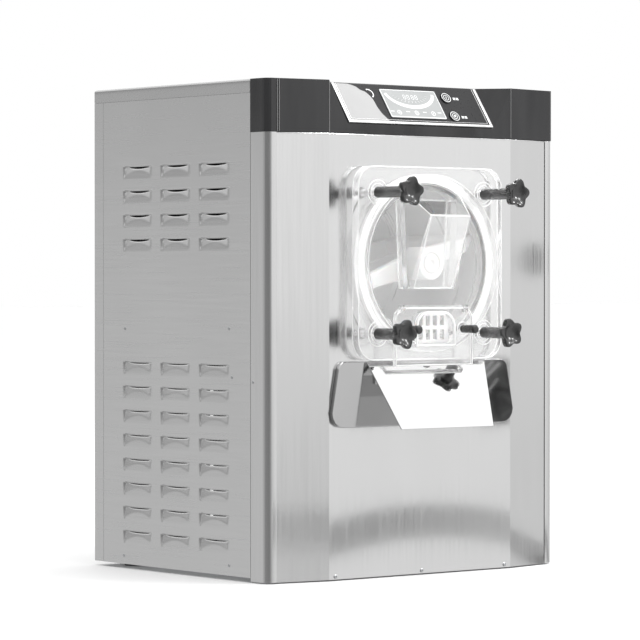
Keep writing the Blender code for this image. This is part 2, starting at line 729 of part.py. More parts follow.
def build_beater():
    beater = rod("beater", (0, -0.022, AXIS_Z), (0, 0.030, AXIS_Z), 0.025, 32)
    join(beater, rod("rear_hub", (0, 0.184, AXIS_Z), (0, 0.2075, AXIS_Z), 0.024, 28))
    for behind in (0.014, 0.186):
        arm = box("arm", (-0.100, behind, AXIS_Z - 0.009), (0.100, behind + 0.014, AXIS_Z + 0.009))
        join(beater, turn_about_axis(arm))
    for side in (-1, 1):
        low_x, high_x = sorted((side * 0.088, side * 0.101))
        bar = box("bar", (low_x, 0.0135, AXIS_Z - 0.012), (high_x, 0.2005, AXIS_Z + 0.012))
        join(beater, turn_about_axis(bar))
    keep(beater, "white_plastic", smooth=True)
    for side, word in ((-1, "a"), (1, "b")):
        lean = side * 0.010
        points = []
        for behind in (0.014, 0.206):
            points += [(side * 0.1013, behind, AXIS_Z - 0.010), (side * 0.1013, behind, AXIS_Z + 0.010),
                       (side * 0.1190, behind, AXIS_Z + lean), (side * 0.1185, behind, AXIS_Z + lean * 0.7)]
        keep(turn_about_axis(hull(f"scraper_blade_{word}", points)), "white_plastic")
    keep(rod("beater_shaft", (0, 0.2078, AXIS_Z), (0, 0.312, AXIS_Z), 0.0120, 24), "stainless", smooth=True)
    bore = 0.0125
    seal = [(0.2230, bore), (0.2230, 0.0240), (0.2155, 0.0240), (0.2155, bore)]
    turned("shaft_seal", seal, (0, AXIS_Z), "rubber", 28)
    housing = [(0.2650, bore), (0.2650, 0.0300), (0.2480, 0.0340), (0.2480, 0.0600),
               (0.2245, 0.0600), (0.2245, 0.0250), (0.2235, 0.0250), (0.2235, bore)]
    turned("bearing_housing", housing, (0, AXIS_Z), "cast_iron", 32)


def pulley_profile(radius, bore):
    rear, front = PULLEY_Y + 0.010, PULLEY_Y - 0.010
    groove_rear, groove_front = PULLEY_Y + 0.0055, PULLEY_Y - 0.0055
    floor = radius - GROOVE
    return [(rear, bore), (rear, radius), (groove_rear, radius), (groove_rear, floor),
            (groove_front, floor), (groove_front, radius), (front, radius), (front, bore)]


def belt_loop(radius, small):
    """The outline of a belt round both pulleys, whose radii differ by the same amount."""
    across, down = MOTOR_X, MOTOR_Z - AXIS_Z
    reach = hypot(across, down)
    heading = atan2(down, across) * 180 / pi
    spread = 90 - atan2(radius - small, reach) * 180 / pi
    large = arc((0, AXIS_Z), radius, heading + spread, heading + 360 - spread, 24)
    return large + arc((MOTOR_X, MOTOR_Z), small, heading - spread, heading + spread, 14)


def build_drive():
    turned("driven_pulley", pulley_profile(PULLEY_RADIUS, 0.0123), (0, AXIS_Z), "cast_iron", 40)
    x, z, small = MOTOR_X, MOTOR_Z, MOTOR_PULLEY_RADIUS
    motor_face, neck = 0.250, 0.009
    rim = pulley_profile(small, neck)
    centre = [(rim[0][0], 0.0)], [(motor_face + GAP, neck), (motor_face + GAP, 0.0)]
    turned("motor_pulley", centre[0] + rim[1:] + centre[1], (x, z), "cast_iron", 28)
    inset = GROOVE - GAP
    loops = [belt_loop(PULLEY_RADIUS + 0.001, small + 0.001), belt_loop(PULLEY_RADIUS - inset, small - inset)]
    keep(along_face("drive_belt", loops, PULLEY_Y - 0.0050, PULLEY_Y + 0.0050), "rubber")
    motor = rod("drive_motor", (x, 0.085, z), (x, motor_face, z), 0.068, 32)
    join(motor, box("motor_foot", (x - 0.060, 0.110, INSIDE_FLOOR), (x + 0.060, 0.220, z - 0.050)))
    join(motor, box("terminal_box", (x - 0.030, 0.130, z + 0.060), (x + 0.030, 0.200, z + 0.092)))
    keep(motor, "motor_paint", smooth=True)
    hang("motor_axis", (x, PULLEY_Y, z), "motor_pulley")


# Cooling system

def build_cooling():
    x, y = COMPRESSOR
    pot = rod("compressor", (x, y, 0.030), (x, y, 0.190), 0.078, 32)
    join(pot, rod("dome", (x, y, 0.189), (x, y, 0.215), 0.078, 32, 0.045))
    join(pot, box("mounting_feet", (x - 0.095, y - 0.070, INSIDE_FLOOR), (x + 0.095, y + 0.070, 0.0320)))
    keep(pot, "cast_iron", smooth=True)
    condenser = box("condenser", (-0.055, 0.395, 0.040), (0.230, 0.440, 0.320))
    soften(condenser, 0.002, 1)
    keep(condenser, "galvanised")
    hole = circle((FAN_X, FAN_Z), FAN_RADIUS + 0.006, 40)
    shroud = along_face("fan_shroud", [rectangle((-0.055, 0.040), (0.230, 0.320)), hole], 0.360, 0.394)
    keep(shroud, "box_grey")
    fan = rod("fan_blade", (FAN_X, 0.362, FAN_Z), (FAN_X, 0.384, FAN_Z), 0.024, 24)
    hub = place(FAN_X, 0.373, FAN_Z)
    pitch = Matrix.Rotation(radians(24), 4, "Z")
    count = 5
    for i in range(count):
        blade = box("blade", (-0.024, -0.0012, 0.018), (0.024, 0.0012, FAN_RADIUS))
        around = Matrix.Rotation(2 * pi * i / count, 4, "Y")
        blade.data.transform(Matrix.Translation(hub) @ around @ pitch @ Matrix.Translation(-place(0, 0, 0)))
        join(fan, blade)
    keep(fan, "galvanised")
    hang("fan_axis", (FAN_X, 0.373, FAN_Z), "fan_blade")
    motor = rod("fan_motor", (FAN_X, 0.305, FAN_Z), (FAN_X, 0.3617, FAN_Z), 0.032, 24)
    arm = box("motor_arm", (FAN_X - 0.008, 0.335, INSIDE_FLOOR), (FAN_X + 0.008, 0.345, FAN_Z - 0.028))
    keep(join(motor, arm), "motor_paint", smooth=True)
    drier = rod("filter_drier", (0.262, 0.300, 0.060), (0.262, 0.300, 0.190), 0.012, 20)
    keep(drier, "copper", smooth=True)
    keep(box("electrical_box", (-0.262, 0.300, 0.400), (-0.150, 0.430, 0.630)), "box_grey")
    end, seat, root = CABINET_REAR + 0.014, CABINET_REAR + GAP, CABINET_REAR - 0.012
    bore, thread = 0.0050, 0.0082
    gland = [(end, bore), (end, 0.0110), (seat, 0.0140), (seat, thread), (root, thread), (root, bore)]
    turned("cable_gland", gland, GLAND, "black_moulding", 20)


def main():
    clear_scene()
    build_front_panel()
    build_posts()
    build_side_panels()
    build_back_panel()
    build_lid()
    build_base()
    build_head()
    build_controls()
    build_cylinder()
    build_door()
    build_hopper()
    build_knobs()
    build_gate()
    build_splash_and_chute()
    build_beater()
    build_drive()
    build_cooling()
    hang("door_axis", (0.0, DOOR_REAR, AXIS_Z),
         "door_plate", "door_seal", "outlet_grill", "feed_hopper", "gate_hinge_pin")
    hang("agitator_axis", (0.0, 0.0, AXIS_Z),
         "beater", "scraper_blade_a", "scraper_blade_b", "beater_shaft", "driven_pulley")
    for name, level in BUTTON_LEVELS.items():
        hang(f"{name}_axis", on_slope(BUTTON_X, level, 0.0), name)


main()
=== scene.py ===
"""Looks of a countertop batch freezer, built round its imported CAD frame.

Metres, +Z up, the front faces -Y. "Behind" is a distance behind the middle facet of the front panel, so it is
negative for what stands in front of that.
"""

import json
from math import cos, exp, pi, radians, sin

import bmesh
import bpy
from mathutils import Matrix, Vector


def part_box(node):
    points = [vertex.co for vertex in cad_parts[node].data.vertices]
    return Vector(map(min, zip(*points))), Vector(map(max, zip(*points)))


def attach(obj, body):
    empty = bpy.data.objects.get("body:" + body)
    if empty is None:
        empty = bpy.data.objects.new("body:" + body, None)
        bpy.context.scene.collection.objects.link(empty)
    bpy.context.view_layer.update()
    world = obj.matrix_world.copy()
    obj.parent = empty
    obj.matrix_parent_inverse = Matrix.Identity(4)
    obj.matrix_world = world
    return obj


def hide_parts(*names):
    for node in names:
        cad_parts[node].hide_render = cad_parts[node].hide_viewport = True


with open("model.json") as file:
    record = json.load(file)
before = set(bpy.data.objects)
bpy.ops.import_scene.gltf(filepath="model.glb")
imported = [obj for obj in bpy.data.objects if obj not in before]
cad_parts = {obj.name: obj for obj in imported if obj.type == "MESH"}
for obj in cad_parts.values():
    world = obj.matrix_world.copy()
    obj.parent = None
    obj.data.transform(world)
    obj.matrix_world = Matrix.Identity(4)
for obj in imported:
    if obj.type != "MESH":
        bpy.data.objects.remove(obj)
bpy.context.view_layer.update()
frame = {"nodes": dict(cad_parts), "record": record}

# Places read from the frame
FACE_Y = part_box("front_panel")[0].y
SIDE_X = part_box("side_panel_right")[1].x
DOOR_LOW, DOOR_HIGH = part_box("door_plate")
AXIS_Z = sum(corner.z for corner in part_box("freezing_cylinder")) / 2
HEAD_LOW, HEAD_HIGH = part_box("head_cover")

# Door plate: its front's distance behind the face, and its thickness
DOOR_FRONT = -0.022
DOOR_THICKNESS = 0.015

# Control slope: its lower edge, how far it leans back, and its height
SLOPE_BOTTOM = 0.677
SLOPE_SET = 0.045
SLOPE_RISE = HEAD_HIGH.z - SLOPE_BOTTOM

# Camera: place, the point it looks at, lens and sensor in millimetres, and how far it sees
CAMERA_PLACE = (-3.2620, -3.9765, 0.4466)
CAMERA_AIM = (0.0, 0.0623, 0.3822)
CAMERA_LENS = 186.54
SENSOR_WIDTH = 36.0
VIEW_LIMIT = 200.0


# Small tools

SAME_POINT = 1e-6
FLAT_ANGLE = radians(0.5)
CREASE_ANGLE = 32
BEAD_RESOLUTION = 3
FLAT_FACE_WEIGHT = 80


def place(x, behind, z):
    return Vector((x, FACE_Y + behind, z))


def arc(centre, radius, start, end, steps=8):
    angles = [radians(start + (end - start) * i / steps) for i in range(steps + 1)]
    return [(centre[0] + radius * cos(a), centre[1] + radius * sin(a)) for a in angles]


def circle(centre, radius, steps):
    return arc(centre, radius, 0, 360, steps)[:-1]


def rectangle(low, high, radius=0.0, steps=6):
    (a, b), (c, d) = low, high
    if not radius:
        return [(a, b), (c, b), (c, d), (a, d)]
    r = radius
    return (
        arc((c - r, b + r), r, -90, 0, steps) + arc((c - r, d - r), r, 0, 90, steps)
        + arc((a + r, d - r), r, 90, 180, steps) + arc((a + r, b + r), r, 180, 270, steps)
    )


def bar(x, level, half_width, half_height):
    return rectangle((x - half_width, level - half_height), (x + half_width, level + half_height))


def smooth_step(low, high, value):
    t = min(max((value - low) / (high - low), 0.0), 1.0)
    return t * t * (3 - 2 * t)


def hump(value, middle, half):
    """1 at the middle, falling to 0 at the distance half from it, and 0 beyond that."""
    return max(0.0, 1 - ((value - middle) / half) ** 2)


def add_lines(curve, lines, closed):
    for line in lines:
        spline = curve.splines.new("POLY")
        spline.points.add(len(line) - 1)
        spline.use_cyclic_u = closed
        for point, spot in zip(spline.points, line):
            point.co = (*spot, 1.0)


def mesh_from(curve):
    """The curve's mesh; the curve is removed."""
    carrier = bpy.data.objects.new(curve.name, curve)
    mesh = bpy.data.meshes.new_from_object(carrier)
    bpy.data.objects.remove(carrier)
    bpy.data.curves.remove(curve)
    return mesh


def welded(mesh):
    """The mesh as a bmesh whose doubled points are merged; the mesh is removed."""
    bm = bmesh.new()
    bm.from_mesh(mesh)
    bpy.data.meshes.remove(mesh)
    bmesh.ops.remove_doubles(bm, verts=bm.verts, dist=SAME_POINT)
    return bm


def object_from(name, bm):
    mesh = bpy.data.meshes.new(name)
    bmesh.ops.recalc_face_normals(bm, faces=bm.faces)
    bm.to_mesh(mesh)
    bm.free()
    obj = bpy.data.objects.new(name, mesh)
    bpy.context.scene.collection.objects.link(obj)
    return obj


def tube(name, paths, radius, closed=False):
    """Round beads along lists of points."""
    curve = bpy.data.curves.new(name, "CURVE")
    curve.dimensions = "3D"
    curve.bevel_depth = radius
    curve.bevel_resolution = BEAD_RESOLUTION
    curve.use_fill_caps = not closed
    add_lines(curve, paths, closed)
    return object_from(name, welded(mesh_from(curve)))


def sheet(name, loops, thickness=0.0):
    """The mesh of a flat outline with holes, in the XY plane."""
    curve = bpy.data.curves.new(name, "CURVE")
    curve.dimensions = "2D"
    curve.fill_mode = "BOTH"
    curve.extrude = thickness / 2
    add_lines(curve, [[(a, b, 0.0) for a, b in loop] for loop in loops], True)
    return mesh_from(curve)


def slab(name, loops, thickness, middle, across, up):
    """A flat outline with holes, given in the directions across and up round the point middle."""
    across, up = Vector(across).normalized(), Vector(up).normalized()
    turn = Matrix((across, up, across.cross(up))).transposed().to_4x4()
    turn.translation = middle
    bm = welded(sheet(name, loops, thickness))
    bmesh.ops.transform(bm, matrix=turn, verts=bm.verts)
    bmesh.ops.dissolve_limit(bm, angle_limit=FLAT_ANGLE, verts=bm.verts, edges=bm.edges)
    return object_from(name, bm)


def along_face(name, loops, front, rear):
    """An outline of (x, z) between two distances behind the face."""
    return slab(name, loops, rear - front, place(0, (front + rear) / 2, 0), (1, 0, 0), (0, 0, 1))


def turned(name, profile, start, direction, steps):
    """A profile of (distance, radius) turned round a line; it closes at radius 0 or on itself."""
    direction = Vector(direction).normalized()
    turn = Vector((0, 0, 1)).rotation_difference(direction).to_matrix().to_4x4()
    turn.translation = start
    angles = [2 * pi * i / steps for i in range(steps)]
    bm = bmesh.new()
    rings = []
    for distance, radius in profile:
        if radius == 0:
            rings.append([bm.verts.new((0, 0, distance))])
        else:
            rings.append([bm.verts.new((radius * cos(a), radius * sin(a), distance)) for a in angles])
    if all(radius > 0 for _, radius in profile):
        rings.append(rings[0])
    for one, two in zip(rings, rings[1:]):
        for i in range(steps):
            j = (i + 1) % steps
            corners = [one[i % len(one)], one[j % len(one)], two[j % len(two)], two[i % len(two)]]
            unique = [v for k, v in enumerate(corners) if v not in corners[:k]]
            if len(unique) > 2:
                bm.faces.new(unique)
    bmesh.ops.transform(bm, matrix=turn, verts=bm.verts)
    return object_from(name, bm)


def baked(obj, *tools):
    """Turns an object's modifiers into its mesh, and removes the tools that they used."""
    graph = bpy.context.evaluated_depsgraph_get()
    mesh = bpy.data.meshes.new_from_object(obj.evaluated_get(graph))
    obj.modifiers.clear()
    obj.data = mesh
    for tool in tools:
        bpy.data.objects.remove(tool)
    return obj


def united(obj, *tools):
    for tool in tools:
        change = obj.modifiers.new("Change", "BOOLEAN")
        change.operation = "UNION"
        change.solver = "EXACT"
        change.object = tool
    return baked(obj, *tools)


def even(obj):
    """Lets large flat faces keep their own direction where they run into a rounded edge."""
    weighted = obj.modifiers.new("Even", "WEIGHTED_NORMAL")
    weighted.keep_sharp = True
    weighted.weight = FLAT_FACE_WEIGHT


def rounded(obj, width, segments, angle=CREASE_ANGLE):
    edge = obj.modifiers.new("Edges", "BEVEL")
    edge.width = width
    edge.segments = segments
    edge.limit_method = "ANGLE"
    edge.angle_limit = radians(angle)
    return obj


def finish(obj, material, body, smooth=CREASE_ANGLE):
    """Gives a piece its material, smooth shading with sharp creases, and its body."""
    obj.data.materials.clear()
    obj.data.materials.append(material)
    obj.data.shade_smooth()
    obj.data.set_sharp_from_angle(angle=radians(smooth))
    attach(obj, body)
    return obj


def refine(node, material, width, angle):
    """Keeps a CAD node and gives it its material and fine rounded edges."""
    obj = frame["nodes"][node]
    obj.data.materials.clear()
    obj.data.materials.append(material)
    weld = obj.modifiers.new("Weld", "WELD")
    weld.merge_threshold = SAME_POINT
    flat = obj.modifiers.new("Flat", "DECIMATE")
    flat.decimate_type = "DISSOLVE"
    flat.angle_limit = FLAT_ANGLE
    if width:
        rounded(obj, width, 2, angle)
    even(obj)
    obj.data.shade_smooth()
    return obj


# Materials

NOISE_LOW, NOISE_HIGH = 0.3, 0.7


class Finish:
    """A Principled material whose detail comes from a few noise textures in object space."""

    def __init__(self, name, colour, roughness, metallic=0.0):
        self.made = bpy.data.materials.new(name)
        self.made.use_nodes = True
        self.tree = self.made.node_tree
        self.shader = self.tree.nodes["Principled BSDF"]
        self.shader.inputs["Base Color"].default_value = (*colour, 1.0)
        self.shader.inputs["Roughness"].default_value = roughness
        self.shader.inputs["Metallic"].default_value = metallic
        self.colour = colour
        self.roughness = roughness
        self.place = self.node("ShaderNodeTexCoord").outputs["Object"]

    def node(self, kind, **settings):
        made = self.tree.nodes.new(kind)
        for key, value in settings.items():
            if key in made.inputs:
                made.inputs[key].default_value = value
            else:
                setattr(made, key, value)
        return made

    def link(self, output, entry):
        self.tree.links.new(output, entry)

    def noise(self, scale, detail=3.0, stretch=(1, 1, 1), distortion=0.0):
        mapping = self.node("ShaderNodeMapping")
        mapping.inputs["Scale"].default_value = stretch
        self.link(self.place, mapping.inputs["Vector"])
        noise = self.node("ShaderNodeTexNoise", Scale=scale, Detail=detail, Distortion=distortion)
        self.link(mapping.outputs["Vector"], noise.inputs["Vector"])
        return noise.outputs["Fac"]

    def spread(self, value, low, high):
        """Stretches the range in which most of a noise lies to run from low to high."""
        ranged = self.node("ShaderNodeMapRange")
        ranged.inputs["From Min"].default_value = NOISE_LOW
        ranged.inputs["From Max"].default_value = NOISE_HIGH
        ranged.inputs["To Min"].default_value = low
        ranged.inputs["To Max"].default_value = high
        self.link(value, ranged.inputs["Value"])
        return ranged.outputs["Result"]

    def vary_roughness(self, value, amount):
        result = self.spread(value, self.roughness - amount, self.roughness + amount)
        self.link(result, self.shader.inputs["Roughness"])

    def vary_colour(self, value, darkest, other=None):
        """Mixes the colour with a darker shade of itself, or with another colour, by a 0 to 1 value."""
        mix = self.node("ShaderNodeMix", data_type="RGBA")
        mix.inputs[6].default_value = (*self.colour, 1.0)
        mix.inputs[7].default_value = (*(other or [c * darkest for c in self.colour]), 1.0)
        self.link(self.spread(value, 0.0, 1.0), mix.inputs[0])
        self.link(mix.outputs[2], self.shader.inputs["Base Color"])

    def relief(self, value, depth, strength=1.0, over=None):
        bump = self.node("ShaderNodeBump", Strength=strength, Distance=depth)
        self.link(value, bump.inputs["Height"])
        if over:
            self.link(over, bump.inputs["Normal"])
        self.link(bump.outputs["Normal"], self.shader.inputs["Normal"])
        return bump.outputs["Normal"]

    def set(self, **values):
        for key, value in values.items():
            self.shader.inputs[key.replace("_", " ")].default_value = value


def brushed(name, grey, roughness, grain=(220, 220, 6), waviness=0.0006, scratch=0.00002):
    """Satin steel sheet: fine grain along one axis, faint smears and a slightly wavy surface."""
    steel = Finish(name, (grey, grey, grey), roughness, 1.0)
    fine = steel.noise(1.0, 4.0, grain)
    smear = steel.noise(5.0, 3.0, (1, 1, 0.6), 0.6)
    steel.vary_roughness(fine, 0.05)
    steel.vary_colour(smear, 0.97)
    waves = steel.relief(steel.noise(3.2, 1.0), waviness)
    steel.relief(fine, scratch, 0.35, over=waves)
    return steel


def make_finishes():
    made = {}
    made["stainless"] = brushed("satin_steel", 0.74, 0.18, scratch=0.000012)
    made["side_steel"] = brushed("side_steel", 0.70, 0.24, (8, 8, 240), 0.0001)
    made["post_steel"] = brushed("post_steel", 0.70, 0.20, waviness=0.0001)
    made["lid_steel"] = brushed("lid_steel", 0.55, 0.26, (8, 240, 240))
    made["bore_steel"] = brushed("bore_steel", 0.93, 0.30, (3, 40, 3), scratch=0.000002)
    made["bore_steel"].set(Metallic=0.40)
    mirror = Finish("polished_steel", (0.90, 0.90, 0.90), 0.045, 1.0)
    mirror.vary_roughness(mirror.noise(160.0, 3.0, (1, 1, 0.05)), 0.02)
    mirror.relief(mirror.noise(6.0, 1.0), 0.0012)
    made["mirror_steel"] = mirror
    splash = Finish("splash_steel", (0.54, 0.54, 0.54), 0.10, 1.0)
    splash.vary_roughness(splash.noise(30.0), 0.02)
    splash.vary_colour(splash.noise(9.0), 0.93)
    made["splash_steel"] = splash
    trim = Finish("silver_trim", (0.80, 0.80, 0.80), 0.16, 1.0)
    trim.vary_roughness(trim.noise(90.0), 0.04)
    made["silver_trim"] = trim
    black = Finish("black_gloss", (0.009, 0.009, 0.010), 0.13)
    black.vary_roughness(black.noise(7.0), 0.04)
    black.vary_colour(black.noise(16.0, 3.0, (1, 1, 0.12)), 1.0, (0.030, 0.030, 0.031))
    black.relief(black.noise(9.0, 2.0), 0.0010)
    made["black_gloss"] = black
    knob = Finish("black_moulding", (0.016, 0.016, 0.016), 0.20)
    knob.set(Specular_IOR_Level=0.80)
    knob.vary_roughness(knob.noise(60.0), 0.05)
    knob.relief(knob.noise(500.0, 1.0), 0.00002, 0.12)
    made["black_moulding"] = knob
    clear = Finish("clear_acrylic", (0.985, 0.985, 0.985), 0.02)
    clear.set(IOR=1.24, Transmission_Weight=0.90)
    clear.relief(clear.noise(7.0, 2.0), 0.0004, 0.4)
    made["clear_plastic"] = clear
    cloudy = Finish("cloudy_acrylic", (0.985, 0.985, 0.985), 0.05)
    cloudy.set(IOR=1.24, Transmission_Weight=0.78)
    cloudy.relief(cloudy.noise(9.0, 2.0), 0.0004, 0.4)
    made["cloudy_plastic"] = cloudy
    soft = Finish("soft_ring", (0.92, 0.92, 0.92), 0.12)
    soft.set(IOR=1.24, Transmission_Weight=0.90)
    soft.relief(soft.noise(30.0), 0.0003, 0.3)
    made["soft_ring"] = soft
    # Painted highlight: a near-white, half clear finish for the beads that stand in for the light caught
    # along the clear parts' polished edges
    edge = Finish("painted_edge_highlight", (0.97, 0.97, 0.97), 0.22)
    edge.set(IOR=1.30, Transmission_Weight=0.35)
    edge.vary_roughness(edge.noise(80.0), 0.06)
    made["painted_edge_highlight"] = edge
    white = Finish("white_plastic", (0.66, 0.66, 0.655), 0.36)
    white.set(Subsurface_Weight=0.15, Subsurface_Scale=0.004)
    white.vary_colour(white.noise(14.0), 0.94)
    white.relief(white.noise(260.0), 0.00005, 0.4)
    made["white_plastic"] = white
    film = Finish("panel_film", (0.016, 0.016, 0.017), 0.30)
    film.set(Specular_IOR_Level=0.22)
    film.vary_roughness(film.noise(220.0), 0.04)
    film.relief(film.noise(420.0), 0.00002, 0.3)
    made["panel_film"] = film
    display = Finish("display", (0.40, 0.41, 0.41), 0.16)
    display.set(Specular_IOR_Level=0.2)
    display.vary_colour(display.noise(30.0), 0.93)
    made["display"] = display
    inlay = Finish("inlay_print", (0.46, 0.46, 0.46), 0.34)
    inlay.set(Specular_IOR_Level=0.2)
    inlay.vary_colour(inlay.noise(25.0), 0.96)
    made["inlay_print"] = inlay
    ink = Finish("light_print", (0.80, 0.81, 0.81), 0.30)
    ink.vary_colour(ink.noise(40.0), 0.96)
    made["light_print"] = ink
    rubber = Finish("rubber", (0.022, 0.022, 0.022), 0.75)
    rubber.relief(rubber.noise(500.0), 0.0001, 0.5)
    made["rubber"] = rubber
    foam = Finish("foam", (0.78, 0.71, 0.56), 0.9)
    foam.vary_colour(foam.noise(60.0), 0.8)
    foam.relief(foam.noise(240.0), 0.0006, 0.8)
    made["foam"] = foam
    copper = Finish("copper", (0.78, 0.42, 0.28), 0.28, 1.0)
    copper.vary_colour(copper.noise(22.0), 0.7)
    made["copper"] = copper
    iron = Finish("cast_iron", (0.045, 0.046, 0.048), 0.5)
    iron.vary_roughness(iron.noise(30.0), 0.12)
    iron.relief(iron.noise(300.0), 0.0002, 0.6)
    made["cast_iron"] = iron
    enamel = Finish("motor_paint", (0.10, 0.13, 0.16), 0.42)
    enamel.relief(enamel.noise(200.0), 0.0001, 0.5)
    enamel.vary_colour(enamel.noise(9.0), 0.85)
    made["motor_paint"] = enamel
    zinc = Finish("galvanised", (0.60, 0.61, 0.62), 0.42, 1.0)
    zinc.vary_colour(zinc.noise(40.0, 2.0), 0.82)
    zinc.vary_roughness(zinc.noise(40.0, 2.0), 0.08)
    made["galvanised"] = zinc
    grey = Finish("box_grey", (0.36, 0.37, 0.38), 0.5)
    grey.relief(grey.noise(420.0), 0.00008, 0.5)
    grey.vary_colour(grey.noise(12.0), 0.93)
    made["box_grey"] = grey
    board = Finish("board", (0.02, 0.10, 0.05), 0.4)
    board.vary_colour(board.noise(120.0, 1.0), 0.6)
    made["board"] = board
    return made


finishes = make_finishes()


def paint(key):
    return finishes[key].made


# CAD nodes that stay: their finish and edge width, where these differ from the record's slot and FINE_EDGE

FINE_EDGE = 0.0003
NODE_LOOKS = {
    "front_panel": ("stainless", 0.0005), "front_post_left": ("post_steel", FINE_EDGE),
    "front_post_right": ("post_steel", FINE_EDGE), "rear_post_left": ("side_steel", FINE_EDGE),
    "rear_post_right": ("side_steel", FINE_EDGE), "back_panel": ("side_steel", FINE_EDGE),
    "top_cover": ("lid_steel", 0.0), "head_cover": ("black_gloss", 0.0012),
    "freezing_cylinder": ("bore_steel", 0.0004), "beater": ("white_plastic", 0.0015),
    "scraper_blade_a": ("white_plastic", 0.0008), "scraper_blade_b": ("white_plastic", 0.0008),
    "panel_bezel": ("silver_trim", 0.0008), "splash_plate": ("splash_steel", 0.0014),
    "start_button": ("panel_film", 0.0006), "stop_button": ("panel_film", 0.0006),
    "discharge_chute": ("mirror_steel", 0.0004), "feed_hopper": ("cloudy_plastic", FINE_EDGE),
}
# Nodes with shallow folds, and the least angle that is rounded on them
FOLDED_NODES, FOLD_ANGLE = ("front_panel", "head_cover"), 6


def keep_frame_nodes():
    slots = {row["node"]: row["material_slot"] for row in frame["record"]["subparts"]}
    for node in frame["nodes"]:
        finish_name, width = NODE_LOOKS.get(node, (slots[node], FINE_EDGE))
        kept = refine(node, paint(finish_name), width, FOLD_ANGLE if node in FOLDED_NODES else CREASE_ANGLE)
        kept.visible_shadow = slots[node] != "clear_plastic"


keep_frame_nodes()


# Louvred sides

LOUVRE_COLUMNS = (0.1437, 0.2411, 0.3386)
LOUVRE_PITCH = 0.0372
# Each set's upper row, its number of rows and the height of its slits
LOUVRE_SETS = ((0.6105, 4, 0.0026), (0.3103, 8, 0.0010))
LOUVRE_WIDTH, LOUVRE_HEIGHT = 0.080, 0.021
# Shares of the width at which a louvre is shaped, from its front end; finer at the rear end
FINE_SHARE, COARSE_STEPS, FINE_STEPS = 0.84, 24, 14
LOUVRE_SHARES = ([FINE_SHARE * i / COARSE_STEPS for i in range(COARSE_STEPS)]
                 + [FINE_SHARE + (1 - FINE_SHARE) * i / FINE_STEPS for i in range(FINE_STEPS + 1)])
ROWS_BELOW_SLIT, ROWS_ABOVE_SLIT = 9, 5
SHEET_THICKNESS = 0.0010
SHEET_GAP = 5e-6
SHEET_CREASE = 40
# A louvre's form, in shares of its width and height from its rear end and its lower edge
ARCH_MIDDLE, CREASE_HALF, SLIT_HALF = 0.53, 0.44, 0.33
END_START, REAR_END, FRONT_END = 0.02, 0.10, 0.11
LOWER_EDGE, UPPER_EDGE = 0.04, 0.01
SLIT_TOP = 0.86
CREASE_LOW, CREASE_RISE = 0.16, 0.42
POCKET_SPOT, POCKET_SIZE, POCKET_END = (0.080, 0.30), (0.024, 0.20), 0.05
# Depth gained per share of the height, below the crease and above it, and the depth of the pocket
GENTLE_SLOPE, STEEP_SLOPE, POCKET_DEPTH = 0.0013, 0.0047, 0.0008


def louvre_depth(across, up):
    """How far in a louvre is pressed, at shares across and up of its box; across 0 is its rear end."""
    ends = smooth_step(END_START, REAR_END, across) * smooth_step(END_START, FRONT_END, 1 - across)
    crease = CREASE_LOW + CREASE_RISE * hump(across, ARCH_MIDDLE, CREASE_HALF)
    below, above = min(up, crease) - LOWER_EDGE, min(up, SLIT_TOP) - crease
    depth = GENTLE_SLOPE * max(0.0, below) + STEEP_SLOPE * max(0.0, above)
    spot = [(value - middle) / size for value, middle, size in zip((across, up), POCKET_SPOT, POCKET_SIZE)]
    pocket = POCKET_DEPTH * exp(-spot[0] ** 2 - spot[1] ** 2) * smooth_step(0.0, POCKET_END, across)
    fade = smooth_step(0.0, LOWER_EDGE, up), smooth_step(UPPER_EDGE, 1 - SLIT_TOP, 1 - up)
    return (ends * depth + pocket) * fade[0] * fade[1]


def add_louvre(bm, side, y0, z0, gap):
    """Adds one louvre's faces from its lower front corner, and gives its outline as a hole for the sheet."""
    y1, z1 = y0 + LOUVRE_WIDTH, z0 + LOUVRE_HEIGHT

    def spot(across, up):
        x = side * SIDE_X - side * louvre_depth(1 - across, up)
        return bm.verts.new((x, y0 + LOUVRE_WIDTH * across, z0 + LOUVRE_HEIGHT * up))

    lower, upper = [], []
    for across in LOUVRE_SHARES:
        slit = SLIT_TOP - hump(1 - across, ARCH_MIDDLE, SLIT_HALF) * gap / LOUVRE_HEIGHT
        lower.append([spot(across, slit * j / ROWS_BELOW_SLIT) for j in range(ROWS_BELOW_SLIT + 1)])
        upper.append([spot(across, SLIT_TOP + (1 - SLIT_TOP) * j / ROWS_ABOVE_SLIT)
                      for j in range(ROWS_ABOVE_SLIT + 1)])
    for grid in (lower, upper):
        for one, two in zip(grid, grid[1:]):
            for j in range(len(one) - 1):
                bm.faces.new((one[j], two[j], two[j + 1], one[j + 1]))
    levels = [v.co.z for v in lower[0]] + [v.co.z for v in upper[0][1:]]
    steps = [y0 + LOUVRE_WIDTH * across for across in LOUVRE_SHARES]
    return ([(y, z0) for y in steps[:-1]] + [(y1, z) for z in levels[:-1]]
            + [(y, z1) for y in reversed(steps[1:])] + [(y0, z) for z in reversed(levels[1:])])


